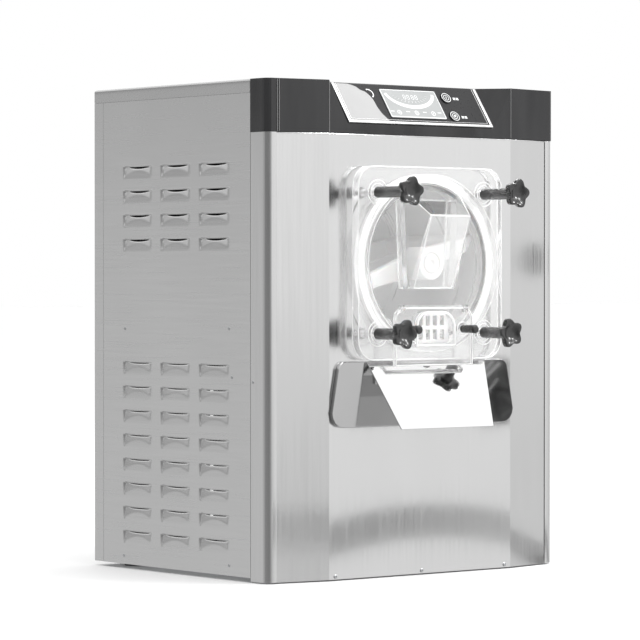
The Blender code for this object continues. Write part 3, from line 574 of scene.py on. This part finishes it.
def louvred_side(side, word):
    node = f"side_panel_{word}"
    low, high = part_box(node)
    bm = bmesh.new()
    holes = []
    for column in LOUVRE_COLUMNS:
        for top, count, gap in LOUVRE_SETS:
            for row in range(count):
                y0 = FACE_Y + column - LOUVRE_WIDTH / 2
                z0 = top - LOUVRE_PITCH * row - LOUVRE_HEIGHT / 2
                holes.append(add_louvre(bm, side, y0, z0, gap))
    mesh = sheet("side", [rectangle((low.y, low.z), (high.y, high.z))] + holes)
    mesh.transform(Matrix(((0, 0, 0, side * SIDE_X), (1, 0, 0, 0), (0, 1, 0, 0), (0, 0, 0, 1))))
    bm.from_mesh(mesh)
    bpy.data.meshes.remove(mesh)
    bmesh.ops.remove_doubles(bm, verts=bm.verts, dist=SHEET_GAP)
    panel = object_from(f"louvred_side_{word}", bm)
    if panel.data.polygons[0].normal.x * side < 0:
        panel.data.flip_normals()
    shell = panel.modifiers.new("Sheet", "SOLIDIFY")
    shell.thickness = SHEET_THICKNESS
    shell.offset = -1.0
    finish(panel, paint("side_steel"), "machine", SHEET_CREASE)
    for face in panel.data.polygons:
        face.use_smooth = abs(face.normal.x) < 0.9999
    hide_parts(node)


for side, word in ((-1, "left"), (1, "right")):
    louvred_side(side, word)


# Star knobs

KNOB_LOBES, KNOB_RADIUS, KNOB_DEPTH = 5, 0.0225, 0.010
KNOB_DIP, KNOB_INNER, LOBE_POWER = 0.0058, 0.0190, 0.9
KNOB_STEPS = 100
KNOB_CREASE = 50
KNOB_TURNS = {"upper_left": 10, "upper_right": 12, "lower_left": 19, "lower_right": -15}
# Outline of the head: distance forward, share of the radius, and how round the star is there
KNOB_RINGS = ((0.0000, 0.55, 1.0), (0.0000, 0.86, 0.15), (0.0005, 0.94, 0.05), (0.0018, 0.985, 0.0),
              (0.0082, 1.00, 0.0), (0.0093, 0.99, 0.0), (0.0099, 0.965, 0.0), (0.0100, 0.93, 0.02),
              (0.0099, 0.86, 0.12), (0.0094, 0.78, 0.40), (0.0084, 0.70, 0.80), (0.0071, 0.58, 1.0),
              (0.0059, 0.44, 1.0), (0.0052, 0.30, 1.0), (0.0049, 0.14, 1.0))
# The sleeve's (distance, radius): its foot from the door's front, and its flange from the head's rear face
SLEEVE_FOOT = ((0.0003, 0.0), (0.0003, 0.0078), (0.0010, 0.0085))
SLEEVE_FLANGE = ((-0.004, 0.0085), (-0.001, 0.0096), (0.001, 0.0098), (0.001, 0.0))
SLEEVE_STEPS = 48


def star_knob(name, centre, head, turn):
    """A five-lobed head with a dished face on a long sleeve; head is its rear face's distance behind."""
    x, z = centre
    bm = bmesh.new()
    loops = []
    for forward, scale, roundness in KNOB_RINGS:
        loop = []
        for i in range(KNOB_STEPS):
            angle = 2 * pi * i / KNOB_STEPS
            lobe = ((1 + cos(KNOB_LOBES * angle)) / 2) ** LOBE_POWER
            star = KNOB_RADIUS - KNOB_DIP * (1 - lobe)
            reach = scale * (star * (1 - roundness) + KNOB_INNER * roundness)
            spot = place(x + reach * sin(angle + turn), head - forward, z + reach * cos(angle + turn))
            loop.append(bm.verts.new(spot))
        loops.append(loop)
    for one, two in zip(loops, loops[1:]):
        for i in range(KNOB_STEPS):
            j = (i + 1) % KNOB_STEPS
            bm.faces.new((one[i], one[j], two[j], two[i]))
    bm.faces.new(loops[0])
    bm.faces.new(reversed(loops[-1]))
    star = object_from(name, bm)
    length = DOOR_FRONT - head
    profile = list(SLEEVE_FOOT) + [(length + distance, radius) for distance, radius in SLEEVE_FLANGE]
    return united(star, turned("sleeve", profile, place(x, DOOR_FRONT, z), (0, -1, 0), SLEEVE_STEPS))


def build_knobs():
    for word, turn in KNOB_TURNS.items():
        low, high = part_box(f"stud_{word}")
        node = f"star_knob_{word}"
        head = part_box(node)[0].y - FACE_Y + KNOB_DEPTH
        knob = star_knob(f"knob_{word}", ((low.x + high.x) / 2, (low.z + high.z) / 2), head, radians(turn))
        finish(knob, paint("black_moulding"), f"knob_{word}", KNOB_CREASE)
        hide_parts(node)


build_knobs()


# Beater

BEATER_LEAN = radians(17)
BEATER_CREASE = 35
ARM_REACH, ARM_TIP_RADIUS, ARM_ROOT_RADIUS = 0.088, 0.0120, 0.0190
ARM_FRONTS, ARM_DEPTH, ARM_EDGE = (0.0140, 0.1860), 0.0140, 0.0035
BAR_NEAR, BAR_FAR, BAR_HALF, BAR_CORNER = 0.0878, 0.1010, 0.0120, 0.0040
BAR_FRONT, BAR_REAR, BAR_EDGE = 0.0135, 0.2005, 0.0025
SLAB_SEGMENTS = 4
# Hub: (distance forward, radius) of its nose, with a groove and a dished face, and of its tail
HUB_NOSE = ((-0.0300, 0.0), (-0.0300, 0.0236), (-0.0286, 0.0250), (0.0200, 0.0250), (0.0214, 0.0242),
            (0.0219, 0.0228), (0.0219, 0.0172), (0.0212, 0.0164), (0.0204, 0.0160), (0.0204, 0.0146),
            (0.0212, 0.0142), (0.0218, 0.0134), (0.0218, 0.0060), (0.0208, 0.0046), (0.0206, 0.0))
HUB_TAIL = ((-0.2074, 0.0), (-0.2074, 0.0225), (-0.2060, 0.0240), (-0.1855, 0.0240), (-0.1840, 0.0225),
            (-0.1840, 0.0))


def swung(x, z):
    """A place (x, z), given level and from the cylinder's axis, on the leaning beater."""
    across, up = cos(BEATER_LEAN), sin(BEATER_LEAN)
    return x * across - z * up, AXIS_Z + x * up + z * across


def swung_slab(name, outline, front, rear, width):
    slab_piece = along_face(name, [[swung(x, z) for x, z in outline]], front, rear)
    return baked(rounded(slab_piece, width, SLAB_SEGMENTS))


def build_beater():
    axis, forward = place(0, 0, AXIS_Z), (0, -1, 0)
    hub = turned("beater_piece", HUB_NOSE, axis, forward, steps=72)
    parts = [turned("tail", HUB_TAIL, axis, forward, steps=48)]
    for front in ARM_FRONTS:
        for side, spread in ((-1, 270), (1, 90)):
            outline = (arc((side * ARM_REACH, 0), ARM_TIP_RADIUS, spread - 180, spread, steps=10)
                       + arc((0, 0), ARM_ROOT_RADIUS, spread, spread + 180, steps=10))
            parts.append(swung_slab("arm", outline, front, front + ARM_DEPTH, ARM_EDGE))
    for side in (-1, 1):
        near, far = sorted((side * BAR_NEAR, side * BAR_FAR))
        outline = rectangle((near, -BAR_HALF), (far, BAR_HALF), BAR_CORNER, steps=5)
        parts.append(swung_slab("bar", outline, BAR_FRONT, BAR_REAR, BAR_EDGE))
    beater = united(hub, *parts)
    finish(beater, paint("white_plastic"), "agitator", BEATER_CREASE)
    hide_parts("beater")


build_beater()


# Bright edges of the clear parts: painted highlights as white beads along their edges, with the raised ring
# on the door

BEAD = 0.0008
RIM_CORNER = 0.0295
# Raised ring on the door: (distance forward, radius), and the painted highlight lines along its two sides
RING_PROFILE = ((-0.0006, 0.1335), (0.0004, 0.1335), (0.0012, 0.1325), (0.0012, 0.1240), (0.0004, 0.1228),
                (-0.0006, 0.1228))
RING_LINES, RING_LINE_PROUD, RING_BEAD = (0.1233, 0.1330), 0.0006, 0.0007
STUD_OFFSET = 0.105
BOSS_RADII = (0.0130, 0.0185)
# Hopper's painted highlight lines: half a width, distance behind and height of its rear top, its brim and its
# foot
HOPPER_TOP = (0.0530, -0.0226, 0.5765)
HOPPER_BRIM = (0.0380, -0.0666, 0.5405)
HOPPER_FOOT = (0.0370, -0.0252, 0.4328)
# Its sleeve's painted highlight line: half a width and height at the top, the same at the foot, and the
# corner's radius
SLEEVE_TROUGH, SLEEVE_BACK, SLEEVE_BEAD = (0.0525, 0.566, 0.0460, 0.4325, 0.0060), 0.0028, 0.0014
GATE_FRONT, GATE_DEPTH, GATE_HALF, GATE_LOW, GATE_TOP = -0.0303, 0.0072, 0.076, 0.317, 0.403
GATE_CORNER, GATE_CORNER_TURN, GATE_PIN_HALF = 0.0155, 62, 0.0570
# Rim round the outlet, drawn as a painted highlight bead: half its width, its foot, its crown and its
# corner's radius
OUTLET_ARCH, OUTLET_PROUD, OUTLET_BEAD = (0.0372, 0.3472, 0.3963, 0.0218), 0.0026, 0.0017
GRIP_SPOTS, GRIP_RING, GRIP_BEAD = ((-0.0555, 0.371), (0.0555, 0.371)), 0.0105, 0.0010


def upright(path, behind):
    """Places of (x, z) points at one distance behind the face."""
    return [place(x, behind, z) for x, z in path]


def both_sides(x, behind, z):
    """The places at x to the left and to the right of the middle."""
    return place(-x, behind, z), place(x, behind, z)


# A white bead that paints a highlight along an edge; it casts no shadow
def bead(name, paths, radius, body, closed=False):
    made = tube(name, paths, radius, closed)
    finish(made, paint("painted_edge_highlight"), body)
    made.visible_shadow = False


def arch(half, low, high, radius):
    """The D-shaped outline round the outlet."""
    return ([(-half, low), (half, low)] + arc((half - radius, high - radius), radius, 0, 90)
            + arc((radius - half, high - radius), radius, 90, 180))


def trough(half, high, low_half, low, radius):
    """Down one side, round the bottom and up the other."""
    right = arc((low_half - radius, low + radius), radius, -90, 0, steps=5) + [(half, high)]
    return [(-x, z) for x, z in reversed(right)] + right


def build_door_edges():
    low, high = (DOOR_LOW.x + BEAD, DOOR_LOW.z + BEAD), (DOOR_HIGH.x - BEAD, DOOR_HIGH.z - BEAD)
    outline = rectangle(low, high, RIM_CORNER, steps=10)
    rims = [upright(outline, DOOR_FRONT + BEAD), upright(outline, DOOR_FRONT + DOOR_THICKNESS - BEAD)]
    bead("door_rim_highlight", rims, BEAD, "door", closed=True)
    band = turned("door_ring", RING_PROFILE, place(0, DOOR_FRONT, AXIS_Z), (0, -1, 0), steps=128)
    finish(band, paint("soft_ring"), "door")
    band.visible_shadow = False
    lines = [upright(circle((0, AXIS_Z), radius, steps=96), DOOR_FRONT - RING_LINE_PROUD)
             for radius in RING_LINES]
    bead("ring_edge_highlights", lines, RING_BEAD, "door", closed=True)
    studs = [(x, AXIS_Z + z) for z in (STUD_OFFSET, -STUD_OFFSET) for x in (-STUD_OFFSET, STUD_OFFSET)]
    circles = [upright(circle(spot, radius, steps=40), DOOR_FRONT) for spot in studs for radius in BOSS_RADII]
    bead("stud_boss_highlights", circles, BEAD, "door", closed=True)


def build_hopper_edges():
    top_left, top_right = both_sides(*HOPPER_TOP)
    brim_left, brim_right = both_sides(*HOPPER_BRIM)
    foot_left, foot_right = both_sides(*HOPPER_FOOT)
    lines = [[top_left, brim_left, brim_right, top_right], [foot_left, foot_right],
             [brim_left, foot_left], [brim_right, foot_right]]
    bead("hopper_edge_highlights", lines, BEAD, "door")
    bead("sleeve_edge_highlight", [upright(trough(*SLEEVE_TROUGH), SLEEVE_BACK)], SLEEVE_BEAD, "door")


def build_gate_edges():
    half, top = GATE_HALF - BEAD, GATE_TOP - BEAD
    corner = arc((half - GATE_CORNER, top - GATE_CORNER), GATE_CORNER, 0, GATE_CORNER_TURN)
    right = [(half, GATE_LOW + BEAD)] + corner
    left = [(-x, z) for x, z in reversed(right)]
    front, back = GATE_FRONT + BEAD, GATE_FRONT + GATE_DEPTH
    lines = [upright(right, front), upright(left, front), upright(right, back), upright(left, back),
             upright([(-GATE_PIN_HALF, top), (GATE_PIN_HALF, top)], front),
             upright([right[0], left[-1]], front)]
    bead("gate_edge_highlights", lines, BEAD, "gate")
    rim = upright(arch(*OUTLET_ARCH), GATE_FRONT - OUTLET_PROUD)
    bead("outlet_rim_highlight", [rim], OUTLET_BEAD, "gate", closed=True)
    rings = [upright(circle(spot, GRIP_RING, steps=32), GATE_FRONT) for spot in GRIP_SPOTS]
    bead("grip_ring_highlights", rings, GRIP_BEAD, "gate", closed=True)


build_door_edges()
build_hopper_edges()
build_gate_edges()


# Control panel: places are (x, level), with the level measured up the slope

PRINT, PRINT_SUNK, TRIM_PROUD, CURL_PROUD = 0.00025, 0.0001, 0.0002, 0.0003
FILM_TOP, LCD_TOP, KEY_TOP = 0.0018, 0.0032, 0.0040
FILM_HALF, FILM_LOW, FILM_HIGH = 0.1374, 0.0055, 0.0742
TRIM_HALF, TRIM_LOW, TRIM_RADIUS = 0.1352, 0.0078, 0.0007
# Flowing right edge of the light inlay, from the top, and the arc beside it
INLAY_EDGE = ((-0.112, FILM_HIGH), (-0.099, 0.0700), (-0.091, 0.0632), (-0.0835, 0.0600), (-0.0775, 0.0520),
              (-0.0745, 0.0430), (-0.0735, 0.0320), (-0.0695, 0.0190), (-0.061, FILM_LOW))
CURL_MIDDLE, CURL_OUTER, CURL_INNER, CURL_START, CURL_END = (-0.0775, 0.0570), 0.0085, 0.0068, -60, 110
# Display: two outlines of its frame, each with its corner radius
FRAME_OUTER = ((-0.0546, 0.0129), (0.0546, 0.0656), 0.002)
FRAME_INNER = ((-0.0532, 0.0146), (0.0532, 0.0642), 0.001)
# Display: half the width and height of its oval band, and the band's start and sweep; its row of ticks
GAUGE_LEVEL = 0.0625
BAND_OUTER, BAND_OUTER_START, BAND_OUTER_SWEEP = (0.0500, 0.0325), 189, 162
BAND_INNER, BAND_INNER_START, BAND_INNER_SWEEP = (0.0448, 0.0258), 352, -164
BAND_STEPS = 28
TICK_INNER, TICK_OUTER, TICK_HALF = (0.0330, 0.0185), (0.0385, 0.0213), 0.0004
TICK_START, TICK_SWEEP, TICK_STEPS = 204, 132, 12
# Display: digits of seven strokes; each stroke is a share of the digit's half size, and its own half size
DIGIT_SPOTS, DIGIT_LEVEL, DIGIT_HALF = (-0.0115, -0.0045, 0.0045, 0.0115), 0.0520, (0.0022, 0.0038)
LEVEL_STROKE, UPRIGHT_STROKE = (0.0017, 0.0005), (0.0005, 0.0014)
STROKES = ([(0, up, LEVEL_STROKE) for up in (1, 0, -1)]
           + [(across, up, UPRIGHT_STROKE) for up in (0.5, -0.5) for across in (-1, 1)])
# Display: icons of three circles, with their radii and steps, and dashes between them
ICON_SPOTS, ICON_LEVEL = (-0.0350, -0.0010, 0.0320), 0.0222
ICON_RINGS = ((0.0042, 20), (0.0030, 20), (0.0013, 10))
DASH_SPOTS, DASH_LEVEL, DASH_HALF = (-0.0480, -0.0175, 0.0155, 0.0450), 0.0240, (0.0038, 0.0007)
# Keys: word, place and half size of the sign in the middle
KEYS = (("start", 0.073, 0.054, (0.0006, 0.0024)), ("stop", 0.073, 0.0185, (0.0018, 0.0018)))
KEY_RINGS, KEY_STEPS = (0.0086, 0.0075, 0.0052, 0.0042), 36
LABEL_SPOTS, LABEL_HALF = (0.0905, 0.0967), (0.0023, 0.0022)


def slope_frame():
    across = Vector((1, 0, 0))
    up = Vector((0, SLOPE_SET, SLOPE_RISE)).normalized()
    return across, up, across.cross(up)


def on_slope(x, level, proud):
    across, up, out = slope_frame()
    return place(0, 0, SLOPE_BOTTOM) + across * x + up * level + out * proud


def on_panel(name, loops, low, high):
    """An outline of (x, level) laid on the sloping control face."""
    across, up, _ = slope_frame()
    return slab(name, loops, high - low, on_slope(0, 0, (low + high) / 2), across, up)


def flowing(points, steps=5):
    """A smooth line through points."""
    ends = [points[0], *points, points[-1]]
    line = []
    for before, one, two, after in zip(ends, ends[1:], ends[2:], ends[3:]):
        for i in range(steps):
            t = i / steps
            line.append(tuple(0.5 * (2 * b + (c - a) * t + (2 * a - 5 * b + 4 * c - d) * t * t
                                     + (3 * b - a - 3 * c + d) * t ** 3)
                              for a, b, c, d in zip(before, one, two, after)))
    return line + [points[-1]]


def oval(half, start, sweep, steps):
    """Points of an oval arc round the middle of the display's gauge."""
    angles = [radians(start + sweep * i / steps) for i in range(steps + 1)]
    return [(half[0] * cos(a), GAUGE_LEVEL + half[1] * sin(a)) for a in angles]


def printed(name, loops, level, material="light_print", body="machine"):
    finish(on_panel(name, loops, level - PRINT_SUNK, level + PRINT), paint(material), body)


def display_marks():
    marks = [rectangle(*FRAME_OUTER), rectangle(*FRAME_INNER),
             oval(BAND_OUTER, BAND_OUTER_START, BAND_OUTER_SWEEP, BAND_STEPS)
             + oval(BAND_INNER, BAND_INNER_START, BAND_INNER_SWEEP, BAND_STEPS)]
    ticks = [oval(half, TICK_START, TICK_SWEEP, TICK_STEPS) for half in (TICK_INNER, TICK_OUTER)]
    for (a, b), (c, d) in zip(*ticks):
        marks.append([(a - TICK_HALF, b), (a + TICK_HALF, b), (c + TICK_HALF, d), (c - TICK_HALF, d)])
    wide, tall = DIGIT_HALF
    for x in DIGIT_SPOTS:
        marks += [bar(x + across * wide, DIGIT_LEVEL + up * tall, *stroke) for across, up, stroke in STROKES]
    for x in ICON_SPOTS:
        marks += [circle((x, ICON_LEVEL), radius, steps) for radius, steps in ICON_RINGS]
    return marks + [bar(x, DASH_LEVEL, *DASH_HALF) for x in DASH_SPOTS]


def build_control_face():
    corners = [(-FILM_HALF, FILM_HIGH), (-FILM_HALF, FILM_LOW)]
    printed("light_inlay", [corners + list(reversed(flowing(INLAY_EDGE)))], FILM_TOP, "inlay_print")
    curl = (arc(CURL_MIDDLE, CURL_OUTER, CURL_START, CURL_END, steps=12)
            + arc(CURL_MIDDLE, CURL_INNER, CURL_END, CURL_START, steps=12))
    printed("inlay_curl", [curl], FILM_TOP + CURL_PROUD, "silver_trim")
    printed("display_marks", display_marks(), LCD_TOP)
    for word, x, level, sign in KEYS:
        rings = [circle((x, level), radius, KEY_STEPS) for radius in KEY_RINGS]
        printed(f"{word}_key_marks", rings + [bar(x, level, *sign)], KEY_TOP, body=f"{word}_key")
    labels = [bar(x, level, *LABEL_HALF) for _, _, level, _ in KEYS for x in LABEL_SPOTS]
    printed("key_labels", labels, FILM_TOP)
    path = ((-TRIM_HALF, FILM_HIGH), (-TRIM_HALF, TRIM_LOW), (TRIM_HALF, TRIM_LOW), (TRIM_HALF, FILM_HIGH))
    line = [on_slope(x, level, FILM_TOP + TRIM_PROUD) for x, level in path]
    finish(tube("inner_trim", [line], TRIM_RADIUS), paint("silver_trim"), "machine")


build_control_face()


# Seams, painted highlights up the head cover's folds, screws and rivets

# The front folds back from its middle facet to the wings' outer edges
FOLD_X, WING_X, WING_SET = 0.180, 0.266, 0.016
SEAM_DROP, SEAM_PROUD, SEAM_RADIUS = 0.0014, 0.0002, 0.0009
# Painted highlights: thin silver lines at these places up the head cover stand in for light caught on its
# fold edges
HEAD_HIGHLIGHT_SPOTS = (-WING_X - 0.0010, -WING_X + 0.0022, -FOLD_X, FOLD_X)
# The head cover's wings are set back a little less than the panel's
HEAD_SET_SHARE = 0.83
HEAD_HIGHLIGHT_SUNK, HEAD_HIGHLIGHT_INSET, HEAD_HIGHLIGHT_RADIUS = 0.0001, 0.001, 0.00035
# Low domed heads with a drive recess: shares of (rise, radius), and how far their rim is sunk
DOME_PROFILE = ((0.35, 1.0), (0.75, 0.8), (1.0, 0.45), (0.95, 0.34), (0.45, 0.30), (0.40, 0.0))
DOME_SUNK = 0.0004
SCREW_SPOTS, SCREW_Z, SCREW_SUNK = (-0.168, 0.0, 0.168), 0.0065, 0.0001
SCREW_SIZE, RIVET_SIZE = (0.0032, 0.0012), (0.0026, 0.0007)
# Rivets of a side: (behind, z)
RIVETS = ((0.371, 0.370), (0.107, 0.373), (0.100, 0.301), (0.374, 0.020), (0.107, 0.022), (0.049, 0.295))


def dome(name, spot, direction, size):
    radius, rise = size
    profile = [(-DOME_SUNK, 0.0), (-DOME_SUNK, radius)] + [(rise * a, radius * b) for a, b in DOME_PROFILE]
    return turned(name, profile, spot, direction, steps=24)


def joined(name, pieces):
    bm = bmesh.new()
    for piece in pieces:
        bm.from_mesh(piece.data)
        bpy.data.objects.remove(piece)
    return object_from(name, bm)


def wing_behind(x):
    return WING_SET * max(0.0, (abs(x) - FOLD_X) / (WING_X - FOLD_X))


def build_hardware():
    low, high = HEAD_LOW.z, HEAD_HIGH.z
    folds = (-WING_X, -FOLD_X, FOLD_X, WING_X)
    seam = [place(x, wing_behind(x) - SEAM_PROUD, low - SEAM_DROP) for x in folds]
    finish(tube("cover_seam", [seam], SEAM_RADIUS), paint("silver_trim"), "machine")
    # Silver lines that paint the highlights of the head cover's fold edges
    lines = []
    for x in HEAD_HIGHLIGHT_SPOTS:
        behind = (HEAD_LOW.y - FACE_Y) + wing_behind(x) * HEAD_SET_SHARE + HEAD_HIGHLIGHT_SUNK
        lines.append([place(x, behind, low + HEAD_HIGHLIGHT_INSET), place(x, behind, high - HEAD_HIGHLIGHT_INSET)])
    finish(tube("head_fold_highlights", lines, HEAD_HIGHLIGHT_RADIUS), paint("silver_trim"), "machine")
    screws = [dome("screw", place(x, -SCREW_SUNK, SCREW_Z), (0, -1, 0), SCREW_SIZE) for x in SCREW_SPOTS]
    finish(joined("front_screws", screws), paint("galvanised"), "machine")
    for side, word in ((-1, "left"), (1, "right")):
        spots = [Vector((side * SIDE_X, FACE_Y + behind, z)) for behind, z in RIVETS]
        heads = [dome("rivet", spot, (side, 0, 0), RIVET_SIZE) for spot in spots]
        finish(joined(f"side_rivets_{word}", heads), paint("galvanised"), "machine")


build_hardware()


# Stage, lights and camera

FLOOR_SIZE = 40
# Boards of the room that the front reflects: each outline is (across, up) round a point that is at a distance
# from a place (x, behind, z) on the front, in a direction given in degrees from straight ahead to the right
CARD_THICKNESS, STRIP_THICKNESS = 0.004, 0.002
LEFT_WING_TURN, BLOCK_TURN, RIGHT_WING_TURN = 18, 40.3, 62.5
BENCH_PLACE, BENCH_MIDDLE, BENCH_STEPS = (0.162, -0.190, 0.0), (0.0, -0.815), 24
BENCH_OUTER, BENCH_INNER, BENCH_FROM, BENCH_TO = 0.904, 0.852, 75, 105
BLOCK_PLACE, BLOCK_DISTANCE = (0.156, -0.007, 0.272), 0.16
BLOCK_BOX = ((-0.024, -0.055), (0.026, 0.048))
STRIP_OUTLINES = (((-0.024, 0.020), (-0.020, 0.016), (0.004, 0.040), (0.000, 0.044)),
                  ((-0.022, -0.008), (-0.020, -0.010), (0.000, 0.016), (-0.002, 0.018)),
                  ((-0.024, 0.030), (-0.024, 0.024), (-0.006, 0.044), (-0.012, 0.046)))
STRIP_AHEAD = 0.004
FAR_PLACE, FAR_DISTANCE, FAR_RADII, FAR_STEPS = (0.252, 0.013, 0.478), 0.30, (0.022, 0.028), 20
BENCH_END_PLACE, BENCH_END_DISTANCE = (0.222, 0.008, 0.030), 0.20
BENCH_END_OUTLINE = ((-0.050, 0.026), (-0.050, -0.012), (0.050, -0.062), (0.050, -0.020))
BENCH_START_PLACE, BENCH_START_DISTANCE = (-0.226, 0.008, 0.060), 0.26
BENCH_START_BOX = ((-0.060, -0.024), (0.060, 0.034), 0.012)


def build_stage():
    bm = bmesh.new()
    bmesh.ops.create_grid(bm, x_segments=2, y_segments=2, size=FLOOR_SIZE)
    floor = object_from("floor", bm)
    pale = Finish("pale_floor", (0.94, 0.94, 0.94), 0.6)
    pale.vary_colour(pale.noise(0.6), 0.99)
    floor.data.materials.append(pale.made)
    floor.visible_glossy = False


def facing(degrees):
    """The direction at a turn, and the level direction square to it."""
    out = Vector((sin(radians(degrees)), -cos(radians(degrees)), 0))
    return out, (-out.y, out.x, 0)


def reflection_card(name, outline, middle, across, shade, mottle, thickness=CARD_THICKNESS):
    """A board that only shows in the machine's polished faces, of one shade of grey mottled with another."""
    card = slab(name, [outline], thickness, middle, across, (0, 0, 1))
    matt = Finish(name, (shade, shade, shade), 0.7)
    matt.vary_colour(matt.noise(38.0, 3.0, distortion=0.8), 1.0, (mottle, mottle, mottle))
    card.data.materials.append(matt.made)
    card.visible_camera = card.visible_diffuse = card.visible_transmission = card.visible_shadow = False


def build_cards():
    """A low bench edge with its two ends, a dark block with light strips, and something small farther off."""
    band = (arc(BENCH_MIDDLE, BENCH_OUTER, BENCH_FROM, BENCH_TO, BENCH_STEPS)
            + arc(BENCH_MIDDLE, BENCH_INNER, BENCH_TO, BENCH_FROM, BENCH_STEPS))
    reflection_card("bench_edge", band, place(*BENCH_PLACE), (1, 0, 0), shade=0.46, mottle=0.50)
    out, across = facing(BLOCK_TURN)
    spot = place(*BLOCK_PLACE) + out * BLOCK_DISTANCE
    reflection_card("dark_block", rectangle(*BLOCK_BOX), spot, across, shade=0.030, mottle=0.22)
    spot -= out * STRIP_AHEAD
    for number, strip in enumerate(STRIP_OUTLINES):
        reflection_card(f"light_strip_{number}", strip, spot, across, shade=0.9, mottle=0.7,
                        thickness=STRIP_THICKNESS)
    out, across = facing(RIGHT_WING_TURN)
    wide, tall = FAR_RADII
    smudge = [(wide * x, tall * z) for x, z in circle((0.0, 0.0), 1.0, FAR_STEPS)]
    spot = place(*FAR_PLACE) + out * FAR_DISTANCE
    reflection_card("far_object", smudge, spot, across, shade=0.34, mottle=0.40)
    spot = place(*BENCH_END_PLACE) + out * BENCH_END_DISTANCE
    reflection_card("bench_end", BENCH_END_OUTLINE, spot, across, shade=0.42, mottle=0.46)
    out, across = facing(LEFT_WING_TURN)
    spot = place(*BENCH_START_PLACE) + out * BENCH_START_DISTANCE
    reflection_card("bench_start", rectangle(*BENCH_START_BOX), spot, across, shade=0.50, mottle=0.54)


# Brightness of the studio round the object: share of a turn (0.5 is straight ahead of the machine, more is
# to its right) and brightness, above the horizon and below it
ROOM_ABOVE = ((0.0, 0.62), (0.112, 0.66), (0.20, 0.50), (0.27, 0.24), (0.43, 0.22), (0.505, 0.55),
              (0.53, 1.15), (0.551, 0.98), (0.612, 1.0), (0.674, 0.84), (0.80, 0.75), (1.0, 0.62))
ROOM_BELOW = ((0.0, 0.62), (0.112, 0.66), (0.20, 0.50), (0.27, 0.30), (0.43, 0.25), (0.505, 0.45),
              (0.53, 0.62), (0.551, 0.62), (0.612, 0.90), (0.674, 0.74), (0.80, 0.70), (1.0, 0.62))
CEILING = 1.15
CORNER_SHADE = 0.40
# Fades by the height of the ray's direction, or by share of a turn: (where, how much)
HORIZON = ((0.44, 0.0), (0.495, 1.0))
OVERHEAD = ((0.14, 0.0), (0.50, 1.0))
CORNER_HEIGHT = ((0.035, 0.0), (0.085, 1.0))
CORNER_TURN = ((0.20, 1.0), (0.26, 0.0))


def build_world():
    world = bpy.data.worlds.new("studio")
    bpy.context.scene.world = world
    world.use_nodes = True
    tree = world.node_tree
    link = tree.links.new
    background = tree.nodes["Background"]
    parts = tree.nodes.new("ShaderNodeSeparateXYZ")
    link(tree.nodes.new("ShaderNodeTexCoord").outputs["Generated"], parts.inputs[0])

    def maths(operation, *values):
        made = tree.nodes.new("ShaderNodeMath")
        made.operation = operation
        for entry, value in zip(made.inputs, values):
            if isinstance(value, float):
                entry.default_value = value
            else:
                link(value, entry)
        return made.outputs[0]

    def ramp(value, stops):
        made = tree.nodes.new("ShaderNodeValToRGB")
        made.color_ramp.interpolation = "EASE"
        while len(made.color_ramp.elements) < len(stops):
            made.color_ramp.elements.new(0.5)
        for element, (at, level) in zip(made.color_ramp.elements, stops):
            element.position = at
            element.color = (level, level, level, 1.0)
        link(value, made.inputs["Fac"])
        return made.outputs["Color"]

    def mix(share, one, two):
        made = tree.nodes.new("ShaderNodeMix")
        made.data_type = "RGBA"
        for index, value in ((0, share), (6, one), (7, two)):
            if isinstance(value, float):
                made.inputs[index].default_value = (value, value, value, 1.0)
            else:
                link(value, made.inputs[index])
        return made.outputs[2]

    around = maths("ARCTAN2", parts.outputs["X"], maths("MULTIPLY", parts.outputs["Y"], -1.0))
    turn = maths("ADD", maths("MULTIPLY", around, 1 / (2 * pi)), 0.5)
    height = parts.outputs["Z"]
    room = mix(ramp(maths("ADD", height, 0.5), HORIZON), ramp(turn, ROOM_BELOW), ramp(turn, ROOM_ABOVE))
    corner = maths("MULTIPLY", ramp(height, CORNER_HEIGHT), ramp(turn, CORNER_TURN))
    lit = mix(ramp(height, OVERHEAD), mix(corner, room, CORNER_SHADE), CEILING)
    rays = tree.nodes.new("ShaderNodeLightPath")
    link(mix(rays.outputs["Is Camera Ray"], lit, 1.0), background.inputs["Color"])


def aimed(name, data, spot, aim):
    """A light or camera at a spot, looking at the aim."""
    made = bpy.data.objects.new(name, data)
    made.location = spot
    made.rotation_mode = "QUATERNION"
    made.rotation_quaternion = (Vector(aim) - Vector(spot)).to_track_quat("-Z", "Y")
    bpy.context.scene.collection.objects.link(made)
    return made


def area_light(name, spot, aim, size, power):
    data = bpy.data.lights.new(name, "AREA")
    data.shape = "RECTANGLE"
    data.size = data.size_y = size
    data.energy = power
    aimed(name, data, spot, aim)


def build_lights():
    area_light("top", (0.6, -1.0, 4.2), (0, 0, 0.2), size=3.6, power=90)
    area_light("key", (1.6, -2.8, 2.3), (0, -0.2, 0.45), size=0.5, power=20)
    area_light("glint", (2.3, -1.75, 1.55), (0, -0.35, 0.45), size=0.4, power=14)


def build_camera():
    data = bpy.data.cameras.new("camera")
    data.lens = CAMERA_LENS
    data.sensor_width = SENSOR_WIDTH
    data.clip_end = VIEW_LIMIT
    bpy.context.scene.camera = aimed("camera", data, CAMERA_PLACE, CAMERA_AIM)
    bpy.context.scene.view_settings.view_transform = "Standard"


build_stage()
build_cards()
build_world()
build_lights()
build_camera()
